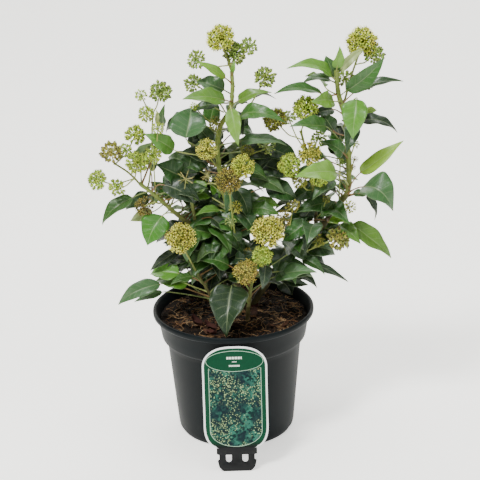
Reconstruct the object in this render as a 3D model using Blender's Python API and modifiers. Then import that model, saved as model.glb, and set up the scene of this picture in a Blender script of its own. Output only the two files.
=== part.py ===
"""Potted ivy: a tree-form ivy with flower umbels in a round nursery pot, with its plant label.

Metres, +Z up. The origin is the centre of the pot's flat base, and -Y is the front, where the label leans.
The tables of the plant are in centimetres: X right, Y back, and Z above the top of the potting mix.
"""
import math

import bmesh
import bpy
from mathutils import Vector

CM = 0.01
GAP = 0.0003                # clearance between pieces that touch

# pot
POT_HEIGHT = 0.148
RIM_RADIUS = 0.0924
COLLAR_RADIUS = 0.0870      # under the lip
COLLAR_LOW_RADIUS = 0.0832
BODY_RADIUS = 0.0782        # below the collar's step
BASE_RADIUS = 0.0675
FOOT_RADIUS = 0.0655
WALL = 0.0016
LIP_HEIGHT = 0.0060
COLLAR_HEIGHT = 0.0340      # from the top of the pot to the step
FLOOR = 0.0025
FOOT_CHAMFER = 0.0050
DRAINS = 8
DRAIN_WIDTH = 0.0110
DRAIN_HEIGHT = 0.0035
TURN_STEPS = 40

# potting mix
MIX_DROP = 0.0080           # from the rim down to the middle of the mix
MIX_DOME = 0.0040           # how much lower the edge of the mix is
ROOT_DEPTH = 0.030
SOCKET_RISE = 0.012         # how far the stems' sockets are cut past the top of the mix
MIX_TOP = POT_HEIGHT - MIX_DROP

# plant, against the sizes that its tables were drawn at
PLANT_HEIGHT_SCALE = 1.0
PLANT_SPREAD_SCALE = 1.0
LEAF_THICKNESS = 0.0007
PETIOLE_WIDTH = 0.0020
TUBE_SIDES = 6              # a curve's bevel resolution of 1 gives six
PEDUNCLE_RADIUS = 0.0008

# label
LABEL_LENGTH = 0.142
LABEL_WIDTH = 0.071
LABEL_THICKNESS = 0.0009
LABEL_FOOT_WIDTH = 0.045
LABEL_FOOT_END_WIDTH = 0.034
LABEL_FOOT_LENGTH = 0.028
LABEL_SHOULDER = 0.022      # height over which the foot widens to the full width
LABEL_ARCH = 0.014          # rise of the arched top
LABEL_CORNER = 0.008
LABEL_SLOT_X = 0.009
LABEL_SLOT_WIDTH = 0.0065
LABEL_SLOT_LOW = 0.0105
LABEL_SLOT_HEIGHT = 0.0085
LABEL_STANDOFF = 0.026      # how far in front of the rim's radius its foot stands

# Shoots: path points (x, y, z) in cm, radius in cm at the bottom and at the top.
SHOOTS = {
    "left": ([(-0.5, 0.9, -3), (-0.5, 0.9, 0), (-0.5, 0.6, 5.4), (-3.2, 0.1, 9.8), (-5.0, -0.3, 11.3),
              (-6.5, -0.5, 12.7), (-8.4, -1.0, 14.8), (-9.9, -1.2, 16.2)], 0.38, 0.20),
    "tall": ([(0.6, -0.6, -3), (0.6, -0.6, 0), (0.4, -0.5, 8.0), (0.2, -0.2, 10.0), (-0.5, 0.3, 13.5),
              (-1.1, 0.9, 17.0), (-1.2, 1.0, 20.0), (-0.7, 1.0, 22.0), (0.3, 0.8, 23.8),
              (0.6, 0.7, 25.8), (0.6, 0.7, 28.0)], 0.36, 0.22),
    "right": ([(1.0, 1.4, -3), (2.2, 1.6, 0), (5.6, 2.0, 4.9), (8.3, 2.0, 7.3), (10.7, 1.5, 10.1),
               (12.4, 1.0, 12.6), (13.2, 0.8, 14.0), (13.3, 0.8, 17.0), (13.1, 0.8, 20.0),
               (12.9, 0.8, 22.3), (12.4, 0.7, 24.1), (12.0, 0.6, 26.0), (11.9, 0.5, 27.8)], 0.44, 0.24),
    "front": ([(1.6, -2.4, -3), (1.6, -2.4, 0), (1.9, -2.7, 3.0), (2.4, -2.9, 6.0)], 0.26, 0.18),
    "low_left": ([(-1.6, -1.5, -3), (-1.6, -1.5, 0), (-2.6, -1.9, 3.0), (-3.6, -2.4, 5.2),
                  (-4.4, -2.9, 7.2)], 0.20, 0.13),
    "back": ([(-0.6, 3.0, -3), (-0.6, 3.0, 0), (-1.2, 4.2, 5.0), (-1.6, 5.0, 10.0), (-1.2, 5.4, 14.5)],
             0.30, 0.18),
}

# Side shoots that grow out of a shoot and are one piece with it.
SIDE_SHOOTS = {
    "left": [([(-3.7, 0.0, 10.2), (-4.0, -0.4, 11.6), (-4.3, -0.9, 14.0), (-4.7, -1.2, 16.2)], 0.22, 0.15)],
    "right": [([(8.8, 1.9, 7.8), (9.6, 1.6, 9.6), (9.5, 1.1, 13.0), (9.1, 0.9, 15.4)], 0.24, 0.18)],
}

# Flower clusters: the stalk's points, its radius, and the umbels (x, y, z, radius) in cm.
FLOWERS = {
    "tall_top": ([(0.4, 0.9, 28.4), (0.1, 1.1, 29.4), (-0.5, 1.2, 31.2)], 0.12,
                 [(-0.5, 1.2, 31.5, 1.55), (2.5, 1.0, 30.6, 0.90), (1.0, 2.2, 29.6, 1.20),
                  (-3.2, 1.0, 29.3, 0.95)]),
    "tall_right": ([(1.3, 1.4, 23.0), (2.6, 1.3, 24.2), (4.1, 0.9, 26.9)], 0.09, [(4.2, 0.9, 27.2, 1.10)]),
    "tall_left": ([(-0.6, 2.0, 23.8), (-1.8, 2.9, 24.9), (-3.6, 2.8, 26.2)], 0.09,
                  [(-3.7, 2.8, 26.3, 0.95)]),
    "right_top": ([(12.9, 1.3, 24.4), (13.7, 2.0, 27.0), (14.8, 2.5, 30.0)], 0.12,
                  [(14.8, 2.5, 30.4, 1.70), (16.1, 2.2, 29.1, 1.10), (13.0, 2.2, 26.5, 0.90),
                   (15.3, 2.0, 26.4, 1.00)]),
    "inner_right": ([(9.0, 0.7, 15.9), (8.6, 0.9, 18.5), (8.0, 1.2, 21.0)], 0.15,
                    [(8.6, 0.0, 23.8, 1.30), (5.2, 1.5, 22.2, 1.35), (10.0, 1.5, 20.0, 0.85),
                     (8.9, -1.0, 19.0, 1.30), (6.7, -1.5, 17.9, 1.20)]),
    "right_low": ([(7.2, 0.2, 6.6), (9.0, -0.6, 7.7), (11.2, -1.3, 8.9)], 0.10,
                  [(12.0, -1.5, 9.2, 1.35), (9.7, -1.1, 8.9, 0.80)]),
    "left_top": ([(-8.9, -0.6, 15.9), (-8.5, -0.4, 18.5), (-8.3, -0.2, 21.5), (-8.1, 0.0, 23.8)], 0.10,
                 [(-7.2, 0.0, 26.1, 1.10), (-9.3, 0.3, 25.7, 0.65), (-8.8, -0.6, 23.9, 0.85)]),
    "left_end": ([(-10.2, -1.3, 16.6), (-11.1, -1.4, 17.6), (-12.5, -1.6, 18.7)], 0.12,
                 [(-10.1, -0.5, 21.5, 1.05), (-11.3, -0.8, 19.9, 0.75), (-10.0, -1.9, 18.8, 1.15),
                  (-12.7, -2.0, 20.0, 1.25), (-14.4, -1.5, 16.8, 1.05), (-12.3, -2.1, 16.1, 0.90)]),
    "left_low": ([(-8.3, -1.6, 14.1), (-8.9, -1.4, 13.8), (-9.4, -1.1, 13.5)], 0.10,
                 [(-9.5, -1.0, 13.4, 1.10)]),
    "middle_left": ([(-1.2, 0.3, 17.2), (-1.8, -0.9, 18.4), (-2.3, -1.9, 19.8)], 0.09,
                    [(-2.3, -2.0, 20.1, 1.15)]),
    "middle_right": ([(-0.1, 0.2, 16.2), (1.8, 0.1, 18.4), (4.0, 0.5, 19.2)], 0.09,
                     [(2.0, 0.0, 19.2, 0.80), (4.2, 0.5, 19.5, 1.00)]),
    "middle": ([(0.5, -1.3, 9.2), (0.2, -2.2, 12.6), (0.0, -3.2, 15.5)], 0.11,
               [(1.5, -3.0, 18.4, 1.25), (-0.1, -3.5, 16.9, 1.40), (0.6, -2.3, 13.5, 0.75)]),
    "front": ([(2.6, -3.0, 6.4), (3.2, -3.3, 8.4), (4.0, -3.8, 10.6)], 0.13,
              [(4.1, -4.0, 11.2, 1.75), (5.8, -3.2, 12.3, 0.90), (3.4, -4.9, 8.7, 1.05),
               (1.5, -4.5, 6.7, 1.35)]),
    "left_front": ([(-4.6, -3.1, 7.7), (-5.2, -3.4, 9.2), (-5.5, -3.5, 10.4)], 0.10,
                   [(-5.5, -3.5, 10.5, 1.65)]),
}

# Leaves of each shoot: height where the petiole leaves the shoot, blade base, tip, width, the way the
# upper side faces, how far the midrib arches, and its age. Lengths in cm.
LEAVES = {
    "tall": [
        (26.6, (-0.1, 0.1, 27.4), (-3.0, -0.8, 29.5), 1.1, (-0.3, -1, 1), 0.25, "young"),
        (24.7, (-0.2, -0.4, 25.1), (-4.7, -1.8, 25.8), 2.0, (0, -1, 1), 0.55, "old"),
        (24.2, (1.2, 0.0, 24.9), (4.6, -0.9, 26.2), 1.5, (0, -1, 1), 0.50, "young"),
        (22.6, (1.4, -0.8, 23.4), (6.1, -3.0, 23.3), 2.0, (0, -1.2, 1), 1.40, "old"),
        (23.6, (0.4, -0.9, 24.3), (1.0, -2.6, 20.6), 1.7, (-0.3, -2, 0.5), 0.35, "young"),
        (19.0, (-4.6, -1.2, 21.2), (-4.0, 0.9, 24.2), 4.0, (-0.2, -2, 1.6), 0.30, "old"),
        (18.2, (-6.0, -0.5, 19.7), (-8.8, -1.8, 22.0), 2.1, (-0.3, -1.2, 1), 0.45, "old"),
        (19.6, (1.4, -0.9, 20.6), (6.3, -1.6, 20.5), 1.7, (0, -1, 1.6), 0.45, "old"),
        (11.8, (-1.2, -0.6, 12.6), (-3.8, -1.8, 12.7), 1.0, (0, -1, 1.5), 0.25, "young"),
    ],
    "left": [
        (13.0, (-5.4, 0.1, 16.5), (-7.9, -0.9, 18.2), 3.0, (-0.2, -1.5, 1), 0.35, "old"),
        (12.2, (-7.5, -1.6, 12.5), (-9.3, -3.0, 9.6), 3.3, (-0.4, -1.5, 0.8), 0.45, "young"),
        (15.2, (-10.7, -1.6, 14.7), (-14.4, -2.4, 12.2), 1.9, (-0.5, -1, 1), 0.35, "old"),
        (9.0, (-6.1, -0.9, 8.0), (-9.3, -1.5, 6.0), 1.4, (0, -1, 0.6), 0.20, "old"),
    ],
    "low_left": [
        (4.4, (-4.5, -3.1, 5.8), (-6.8, -4.2, 5.4), 1.5, (-0.3, -0.6, 1), 0.20, "young"),
        (2.6, (-8.1, -2.0, 4.5), (-13.0, -3.0, 2.7), 1.9, (0, -1, 0.8), 0.45, "old"),
    ],
    "right": [
        (27.0, (11.4, 0.0, 27.2), (6.8, -1.5, 29.1), 1.6, (0, -1, 1.3), 0.85, "young"),
        (27.6, (11.9, 0.1, 28.2), (12.2, -0.5, 30.6), 1.3, (0.2, -1, 0.3), 0.20, "young"),
        (25.2, (10.3, -0.4, 25.5), (5.2, -1.0, 26.3), 1.3, (0, -1, 2), 0.55, "old"),
        (24.4, (11.5, -0.6, 24.7), (9.0, -2.4, 25.2), 1.9, (0.2, -1.5, 1), 0.45, "young"),
        (24.8, (12.9, -0.5, 25.8), (16.8, -1.5, 29.4), 2.1, (0.4, -1.6, 0.3), 0.35, "old"),
        (23.9, (14.3, 0.6, 25.6), (19.1, 0.4, 26.6), 1.3, (0, -0.7, 1), 0.70, "old"),
        (23.2, (13.9, -2.0, 25.2), (13.2, -3.8, 21.4), 2.8, (-0.6, -1.6, 0.6), 0.50, "young"),
        (21.6, (14.3, 0.4, 22.2), (18.6, 0.0, 21.0), 1.6, (0, -0.8, 1.2), 1.00, "old"),
        (18.6, (10.6, -1.2, 22.1), (6.8, -3.0, 22.9), 2.1, (0, -1.3, 1.2), 0.40, "old"),
        (17.6, (12.6, -0.2, 18.7), (10.2, -1.0, 20.4), 1.9, (0.2, -1.3, 1), 0.30, "old"),
        (14.6, (11.6, -3.0, 17.4), (7.2, -4.5, 17.8), 2.4, (0, -1.2, 1), 0.80, "young"),
        (14.0, (14.4, -0.9, 16.6), (18.9, -1.5, 20.4), 1.8, (-0.5, -1.2, 0.8), 0.30, "young"),
        (13.6, (14.6, -1.6, 15.2), (17.8, -3.6, 13.2), 3.8, (0.3, -1.2, 1), 1.50, "old"),
        (11.4, (13.6, 0.0, 10.3), (18.2, -1.0, 6.6), 2.4, (0.6, -1.4, 1), 0.60, "young"),
        (6.6, (8.4, 0.0, 6.0), (13.1, -1.9, 4.2), 1.2, (0, -0.6, 1), 0.35, "old"),
    ],
    "front": [
        (2.0, (-0.1, -4.4, 5.0), (-0.8, -8.5, 0.9), 4.2, (0, -1, 1), 0.55, "old"),
        (3.6, (4.8, -2.4, 5.2), (9.3, -4.1, 6.4), 2.4, (0, -1, 1.5), 0.30, "old"),
        (5.4, (6.6, -3.0, 8.4), (5.6, -4.6, 10.2), 1.6, (0.6, -1.5, 0.5), 0.25, "old"),
    ],
    "back": [
        (8.0, (-4.0, 5.6, 9.6), (-7.6, 6.6, 10.4), 2.9, (-0.3, 1, 1.4), 0.45, "old"),
        (11.0, (0.4, 6.8, 12.4), (3.8, 8.0, 12.4), 2.8, (0.3, 1, 1.4), 0.45, "old"),
        (13.8, (-2.4, 5.8, 16.4), (-4.4, 6.6, 19.4), 2.6, (-0.2, 1.4, 1), 0.35, "old"),
        (5.0, (2.0, 5.6, 6.2), (5.4, 7.0, 5.6), 2.6, (0.3, 1, 1.2), 0.45, "old"),
    ],
}

BLADE_STATIONS = (0.0, 0.1, 0.28, 0.5, 0.72, 0.9, 1.0)
PETIOLE_STEPS = 3
BLADE_FOLD = math.radians(16)
SMOOTH_STEPS = 3            # path steps between two given points of a shoot


def clear_scene():
    for obj in list(bpy.data.objects):
        bpy.data.objects.remove(obj, do_unlink=True)


def collection(name):
    made = bpy.data.collections.new(name)
    bpy.context.scene.collection.children.link(made)
    return made


def material(name, colour, roughness):
    made = bpy.data.materials.new(name)
    made.use_nodes = True
    shader = made.node_tree.nodes["Principled BSDF"]
    shader.inputs["Base Color"].default_value = (*colour, 1)
    shader.inputs["Roughness"].default_value = roughness
    shader.inputs["Metallic"].default_value = 0
    return made


def place(point):
    """A point of the plant's tables, in metres in the pot's frame."""
    x, y, z = point
    above = max(z, 0) * CM * PLANT_HEIGHT_SCALE + min(z, 0) * ROOT_DEPTH / 3
    return Vector((x * CM * PLANT_SPREAD_SCALE, y * CM * PLANT_SPREAD_SCALE, MIX_TOP + above))


def smooth_path(points, steps=SMOOTH_STEPS):
    """Points of a Catmull-Rom curve through the given points."""
    ends = [points[0] * 2 - points[1], *points, points[-1] * 2 - points[-2]]
    path = []
    for before, start, end, after in zip(ends, ends[1:], ends[2:], ends[3:]):
        for step in range(steps):
            t = step / steps
            path.append(0.5 * (2 * start + (end - before) * t
                               + (2 * before - 5 * start + 4 * end - after) * t ** 2
                               + (3 * start - before - 3 * end + after) * t ** 3))
    return path + [points[-1]]


def add_mesh(name, mesh, group, skin, smooth=True):
    mesh.materials.append(skin)
    if smooth:
        mesh.shade_smooth()
        mesh.set_sharp_from_angle(angle=math.radians(40))
    obj = bpy.data.objects.new(name, mesh)
    group.objects.link(obj)
    return obj


def tube(name, path, start_radius, end_radius, group, skin):
    """A tapered closed tube along a path, as a mesh."""
    curve = bpy.data.curves.new(name, "CURVE")
    curve.dimensions = "3D"
    curve.bevel_depth = 1
    curve.bevel_resolution = TUBE_SIDES // 2 - 2
    curve.use_fill_caps = True
    spline = curve.splines.new("POLY")
    spline.points.add(len(path) - 1)
    for index, (point, position) in enumerate(zip(spline.points, path)):
        share = index / (len(path) - 1)
        point.co = (*position, 1)
        point.radius = start_radius + (end_radius - start_radius) * share
    guide = bpy.data.objects.new(name + "_curve", curve)
    group.objects.link(guide)
    bpy.context.view_layer.update()
    mesh = bpy.data.meshes.new_from_object(guide.evaluated_get(bpy.context.evaluated_depsgraph_get()))
    bpy.data.objects.remove(guide, do_unlink=True)
    welded = bmesh.new()
    welded.from_mesh(mesh)
    bmesh.ops.remove_doubles(welded, verts=welded.verts, dist=1e-5)
    bmesh.ops.recalc_face_normals(welded, faces=welded.faces)
    welded.to_mesh(mesh)
    welded.free()
    mesh.materials.clear()
    return add_mesh(name, mesh, group, skin)


def ball(name, centre, radius, group, skin):
    shape = bmesh.new()
    bmesh.ops.create_icosphere(shape, subdivisions=2, radius=radius)
    bmesh.ops.translate(shape, verts=shape.verts, vec=centre)
    mesh = bpy.data.meshes.new(name)
    shape.to_mesh(mesh)
    shape.free()
    return add_mesh(name, mesh, group, skin)


def hidden_group(name):
    """A collection of shapes that only cut or join others."""
    group = collection(name)
    group.hide_render = True
    return group


def hide(cutter):
    cutter.hide_render = True
    cutter.display_type = "WIRE"


def boolean(obj, group, operation):
    modifier = obj.modifiers.new(operation.lower(), "BOOLEAN")
    modifier.operation = operation
    modifier.operand_type = "COLLECTION"
    modifier.collection = group
    modifier.solver = "EXACT"


def turned(name, profile, group, skin):
    """A closed profile of (radius, height) points turned around Z; its outer side runs top to bottom."""
    mesh = bpy.data.meshes.new(name)
    count = len(profile)
    mesh.from_pydata([(r, 0, z) for r, z in profile], [(i, (i + 1) % count) for i in range(count)], [])
    mesh.materials.append(skin)
    obj = bpy.data.objects.new(name, mesh)
    group.objects.link(obj)
    screw = obj.modifiers.new("turn", "SCREW")
    screw.steps = screw.render_steps = TURN_STEPS
    screw.use_merge_vertices = True
    screw.merge_threshold = 1e-5
    screw.use_smooth_shade = True
    return obj


def inner_radius(height):
    """The pot's inner radius at a height, on the straight wall between its floor and the step."""
    step = POT_HEIGHT - COLLAR_HEIGHT
    share = (height - FLOOR) / (step - FLOOR)
    return BASE_RADIUS + (BODY_RADIUS - BASE_RADIUS) * share - WALL


def make_pot(group, skin):
    step = POT_HEIGHT - COLLAR_HEIGHT
    lip_low = POT_HEIGHT - LIP_HEIGHT
    ramp = COLLAR_LOW_RADIUS - BODY_RADIUS
    outer = [(RIM_RADIUS - 0.0006, POT_HEIGHT), (RIM_RADIUS, POT_HEIGHT - 0.0008), (RIM_RADIUS, lip_low),
             (COLLAR_RADIUS, lip_low - 0.003), (COLLAR_LOW_RADIUS, step + ramp / 2),
             (BODY_RADIUS, step - ramp / 2), (BASE_RADIUS, FOOT_CHAMFER), (FOOT_RADIUS, 0)]
    inner = [(0.0, 0.0), (0.0, FLOOR), (inner_radius(FLOOR), FLOOR), (BODY_RADIUS - WALL, step - ramp / 2),
             (COLLAR_LOW_RADIUS - WALL, step + ramp / 2), (COLLAR_RADIUS - WALL, lip_low),
             (RIM_RADIUS - 2 * WALL, POT_HEIGHT)]
    pot = turned("pot", outer + inner, group, skin)
    drains = hidden_group("pot_drains")
    for index in range(DRAINS):
        angle = math.radians(90) + (index + 0.5) * math.tau / DRAINS
        shape = bmesh.new()
        bmesh.ops.create_cube(shape, size=1)
        bmesh.ops.scale(shape, verts=shape.verts, vec=(0.020, DRAIN_WIDTH, 2 * DRAIN_HEIGHT))
        bmesh.ops.translate(shape, verts=shape.verts, vec=(FOOT_RADIUS + 0.0035, 0, 0))
        mesh = bpy.data.meshes.new("drain")
        shape.to_mesh(mesh)
        shape.free()
        cutter = add_mesh(f"drain_{index + 1}", mesh, drains, skin, smooth=False)
        cutter.rotation_euler.z = angle
        hide(cutter)
    boolean(pot, drains, "DIFFERENCE")


def make_mix(group, skin, shoot_paths):
    step = POT_HEIGHT - COLLAR_HEIGHT
    ramp = COLLAR_LOW_RADIUS - BODY_RADIUS
    edge = MIX_TOP - MIX_DOME
    low = FLOOR + DRAIN_HEIGHT
    edge_share = (edge - step - ramp / 2) / (COLLAR_HEIGHT - LIP_HEIGHT - ramp / 2)
    edge_radius = COLLAR_LOW_RADIUS + (COLLAR_RADIUS - COLLAR_LOW_RADIUS) * edge_share - WALL - 2 * GAP
    dome = [(edge_radius * share, MIX_TOP - MIX_DOME * share ** 2) for share in (0.35, 0.7)]
    profile = [(0.0, MIX_TOP), *dome, (edge_radius, edge),
               (COLLAR_LOW_RADIUS - WALL - 2 * GAP, step + ramp / 2),
               (BODY_RADIUS - WALL - 2 * GAP, step - ramp / 2), (inner_radius(low) - 2 * GAP, low), (0.0, low)]
    mix = turned("potting_mix", profile, group, skin)
    sockets = hidden_group("stem_sockets")
    for shoot, (_points, start_radius, _end_radius) in SHOOTS.items():
        path = shoot_paths[shoot]
        rooted = path[:1 + sum(point.z < MIX_TOP + SOCKET_RISE for point in path)]
        under = (rooted[0] - rooted[1]).normalized() * 2 * GAP
        bore = (start_radius * CM + 2 * GAP) / math.cos(math.pi / TUBE_SIDES)
        hide(tube("socket_" + shoot, [rooted[0] + under, *rooted], bore, bore, sockets, skin))
    boolean(mix, sockets, "DIFFERENCE")


def label_outline():
    """The label's outline in its own plane: X across, Y up from its foot."""
    half = LABEL_WIDTH / 2
    foot = LABEL_FOOT_WIDTH / 2
    end = LABEL_FOOT_END_WIDTH / 2
    side_top = LABEL_LENGTH - LABEL_ARCH
    right = [(end, 0), (end + 0.003, 0.003), (foot - 0.001, 0.0125), (foot - 0.003, 0.0135),
             (foot - 0.003, 0.0190), (foot, 0.0205), (foot, LABEL_FOOT_LENGTH)]
    steps = 5
    for index in range(1, steps + 1):
        angle = index / steps * math.pi / 2
        right.append((foot + (half - foot) * math.sin(angle),
                      LABEL_FOOT_LENGTH + LABEL_SHOULDER * (1 - math.cos(angle))))
    right.append((half, side_top - LABEL_CORNER))
    for index in range(1, steps + 3):
        angle = index / (steps + 2) * math.pi / 2
        flat = math.cos(angle) ** 0.75
        right.append((half * flat, side_top - LABEL_CORNER
                      + (LABEL_ARCH + LABEL_CORNER) * math.sin(angle)))
    return right[:-1] + [(0, LABEL_LENGTH)] + [(-x, y) for x, y in reversed(right[:-1])]


def slot_outline(centre):
    half = LABEL_SLOT_WIDTH / 2
    top = LABEL_SLOT_LOW + LABEL_SLOT_HEIGHT
    points = [(centre + half, top), (centre - half, top)]
    steps = 5
    for index in range(steps + 1):
        angle = math.pi + index / steps * math.pi
        points.append((centre + half * math.cos(angle), LABEL_SLOT_LOW + half + half * math.sin(angle)))
    return points


def make_label(group, skin):
    curve = bpy.data.curves.new("plant_label", "CURVE")
    curve.dimensions = "2D"
    curve.fill_mode = "BOTH"
    curve.extrude = LABEL_THICKNESS / 2
    for outline in (label_outline(), slot_outline(-LABEL_SLOT_X), slot_outline(LABEL_SLOT_X)):
        spline = curve.splines.new("POLY")
        spline.points.add(len(outline) - 1)
        spline.use_cyclic_u = True
        for point, (x, y) in zip(spline.points, outline):
            point.co = (x, y, 0, 1)
    curve.materials.append(skin)
    label = bpy.data.objects.new("plant_label", curve)
    group.objects.link(label)
    foot_y = -(RIM_RADIUS + LABEL_STANDOFF)
    lean = math.atan2(LABEL_STANDOFF - LABEL_THICKNESS - GAP, math.sqrt(LABEL_LENGTH ** 2 - LABEL_STANDOFF ** 2))
    label.location = (0, foot_y, LABEL_THICKNESS / 2 * math.sin(lean))
    label.rotation_euler = (math.radians(90) - lean, 0, 0)


def shoot_path(points):
    return smooth_path([place(point) for point in points])


def at_height(path, height):
    """The point of a rising path at a height in metres."""
    for low, high in zip(path, path[1:]):
        if low.z <= height <= high.z:
            return low.lerp(high, (height - low.z) / (high.z - low.z))
    return path[-1]


def make_shoots(group, skin):
    paths = {}
    for name, (points, start_radius, end_radius) in SHOOTS.items():
        paths[name] = shoot_path(points)
        stem = tube("stem_" + name, paths[name], start_radius * CM, end_radius * CM, group, skin)
        if name in SIDE_SHOOTS:
            joined = hidden_group("side_shoots_" + name)
            for side_points, low_radius, high_radius in SIDE_SHOOTS[name]:
                hide(tube("side_" + name, shoot_path(side_points), low_radius * CM, high_radius * CM,
                          joined, skin))
            boolean(stem, joined, "UNION")
    return paths


def peduncle_path(stalk, centre, radius):
    """A stalk's side branch, which leaves it below the umbel and curves up into it."""
    reach = math.hypot(centre.x - stalk[-1].x, centre.y - stalk[-1].y)
    height = min(max(centre.z - max(radius, 0.8 * reach), stalk[0].z + 0.002), stalk[-1].z - 0.001)
    start = at_height(stalk, height)
    bend = start.lerp(centre, 0.55) - Vector((0, 0, 0.15 * (centre - start).length))
    return [start, start.lerp(bend, 0.5), bend, centre]


def make_flowers(group, skin):
    for name, (points, radius, umbels) in FLOWERS.items():
        stalk = shoot_path(points)
        cluster = tube("flowers_" + name, stalk, radius * CM, radius * CM * 0.9, group, skin)
        joined = hidden_group("umbels_" + name)
        for index, (x, y, z, size) in enumerate(umbels):
            size *= PLANT_SPREAD_SCALE
            centre = place((x, y, z))
            hide(ball(f"umbel_{name}_{index + 1}", centre, size * CM, joined, skin))
            if (centre - stalk[-1]).length > size * CM * 0.9:
                branch = peduncle_path(stalk, centre, size * CM)
                hide(tube(f"peduncle_{name}_{index + 1}", branch, PEDUNCLE_RADIUS, PEDUNCLE_RADIUS,
                          joined, skin))
        boolean(cluster, joined, "UNION")


def half_width(share, width):
    """Half the blade's width at a share of its length: ovate, with a drawn-out tip."""
    crown = 0.402
    return max(width / 2 * share ** 0.5 * (1 - share) ** 0.9 / crown, PETIOLE_WIDTH / 2 * (1 - 0.6 * share))


def leaf_sections(foot, base, tip, width, facing, arch):
    """The middle, side vector, normal and half-width of each cross-section, from foot to tip."""
    chord = tip - base
    up = Vector(facing)
    up -= up.project(chord)
    up.normalize()
    side = chord.normalized().cross(up)
    run = chord * 0.3 + up * arch
    sections = []
    for index in range(PETIOLE_STEPS):
        t = index / PETIOLE_STEPS
        knee = base - run * 0.6
        middle = foot * (1 - t) ** 2 + knee * 2 * t * (1 - t) + base * t ** 2
        sections.append((middle, side, up, PETIOLE_WIDTH / 2))
    for t in BLADE_STATIONS:
        middle = base + chord * t + up * (arch * 4 * t * (1 - t))
        sections.append((middle, side, up, half_width(t, width)))
    return sections


def make_leaf(name, group, skin, foot, base, tip, width, facing, arch):
    sections = leaf_sections(foot, base, tip, width, facing, arch)
    shape = bmesh.new()
    bmesh.ops.create_grid(shape, x_segments=2, y_segments=len(sections) - 1, size=1)
    across = sorted({round(v.co.x, 4) for v in shape.verts})
    along = sorted({round(v.co.y, 4) for v in shape.verts})
    for vert in shape.verts:
        column = across.index(round(vert.co.x, 4)) - 1
        middle, side, up, half = sections[along.index(round(vert.co.y, 4))]
        lift = math.sin(BLADE_FOLD) * half * abs(column)
        vert.co = middle + side * (half * column * math.cos(BLADE_FOLD)) + up * lift
    mesh = bpy.data.meshes.new(name)
    shape.to_mesh(mesh)
    shape.free()
    leaf = add_mesh(name, mesh, group, skin)
    solid = leaf.modifiers.new("thickness", "SOLIDIFY")
    solid.thickness = LEAF_THICKNESS
    solid.offset = 0


def make_leaves(group, skins, paths):
    for shoot, rows in LEAVES.items():
        start_radius, end_radius = SHOOTS[shoot][1:]
        for index, (height, base, tip, width, facing, arch, age) in enumerate(rows):
            on_stem = at_height(paths[shoot], place((0, 0, height)).z)
            base = place(base)
            tip = place(tip)
            away = base - on_stem
            away.z = 0
            away.normalize()
            clear = start_radius * CM + LEAF_THICKNESS + PETIOLE_WIDTH / 2 + GAP
            make_leaf(f"leaf_{shoot}_{index + 1:02d}", group, skins[age], on_stem + away * clear, base, tip,
                      width * CM * PLANT_SPREAD_SCALE, facing, arch * CM * PLANT_SPREAD_SCALE)


def main():
    clear_scene()
    parts = collection("potted_ivy")
    wood = material("green_wood", (0.20, 0.17, 0.07), 0.6)
    flower = material("umbel_green", (0.42, 0.42, 0.10), 0.7)
    leaves = {"young": material("young_leaf", (0.20, 0.32, 0.07), 0.4),
              "old": material("old_leaf", (0.03, 0.09, 0.04), 0.3)}
    make_pot(parts, material("black_plastic", (0.03, 0.035, 0.04), 0.45))
    paths = make_shoots(parts, wood)
    make_mix(parts, material("peat_mix", (0.07, 0.04, 0.025), 0.95), paths)
    make_label(parts, material("printed_plastic", (0.02, 0.22, 0.12), 0.35))
    make_flowers(parts, flower)
    make_leaves(parts, leaves, paths)


main()
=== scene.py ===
"""Looks of the potted ivy: fine leaves, florets, stems, peat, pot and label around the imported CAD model."""
import math
import random

import bmesh
import bpy
import numpy as np
from mathutils import Matrix, Vector


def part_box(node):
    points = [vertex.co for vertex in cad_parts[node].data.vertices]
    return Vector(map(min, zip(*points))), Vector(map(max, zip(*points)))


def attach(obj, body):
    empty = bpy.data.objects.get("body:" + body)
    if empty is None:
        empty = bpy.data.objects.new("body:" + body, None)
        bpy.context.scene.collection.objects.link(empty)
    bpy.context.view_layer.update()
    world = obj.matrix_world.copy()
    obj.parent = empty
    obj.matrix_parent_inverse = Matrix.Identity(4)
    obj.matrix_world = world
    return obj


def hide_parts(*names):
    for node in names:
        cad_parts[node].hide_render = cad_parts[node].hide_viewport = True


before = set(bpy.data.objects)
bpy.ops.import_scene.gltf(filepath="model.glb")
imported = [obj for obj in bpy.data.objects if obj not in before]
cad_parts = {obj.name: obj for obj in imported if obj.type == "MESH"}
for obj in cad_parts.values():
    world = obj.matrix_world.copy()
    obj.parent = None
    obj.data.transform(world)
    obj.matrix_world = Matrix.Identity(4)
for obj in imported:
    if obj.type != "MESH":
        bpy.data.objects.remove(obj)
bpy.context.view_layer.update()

CM = 0.01
MIX_LOW, MIX_HIGH = (Vector(corner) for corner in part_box("potting_mix"))
POT_LOW, POT_HIGH = (Vector(corner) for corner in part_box("pot"))
MIX_TOP = MIX_HIGH.z
POT_HEIGHT = POT_HIGH.z
RIM_RADIUS = POT_HIGH.x
ROOT_DEPTH = 0.030

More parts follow.
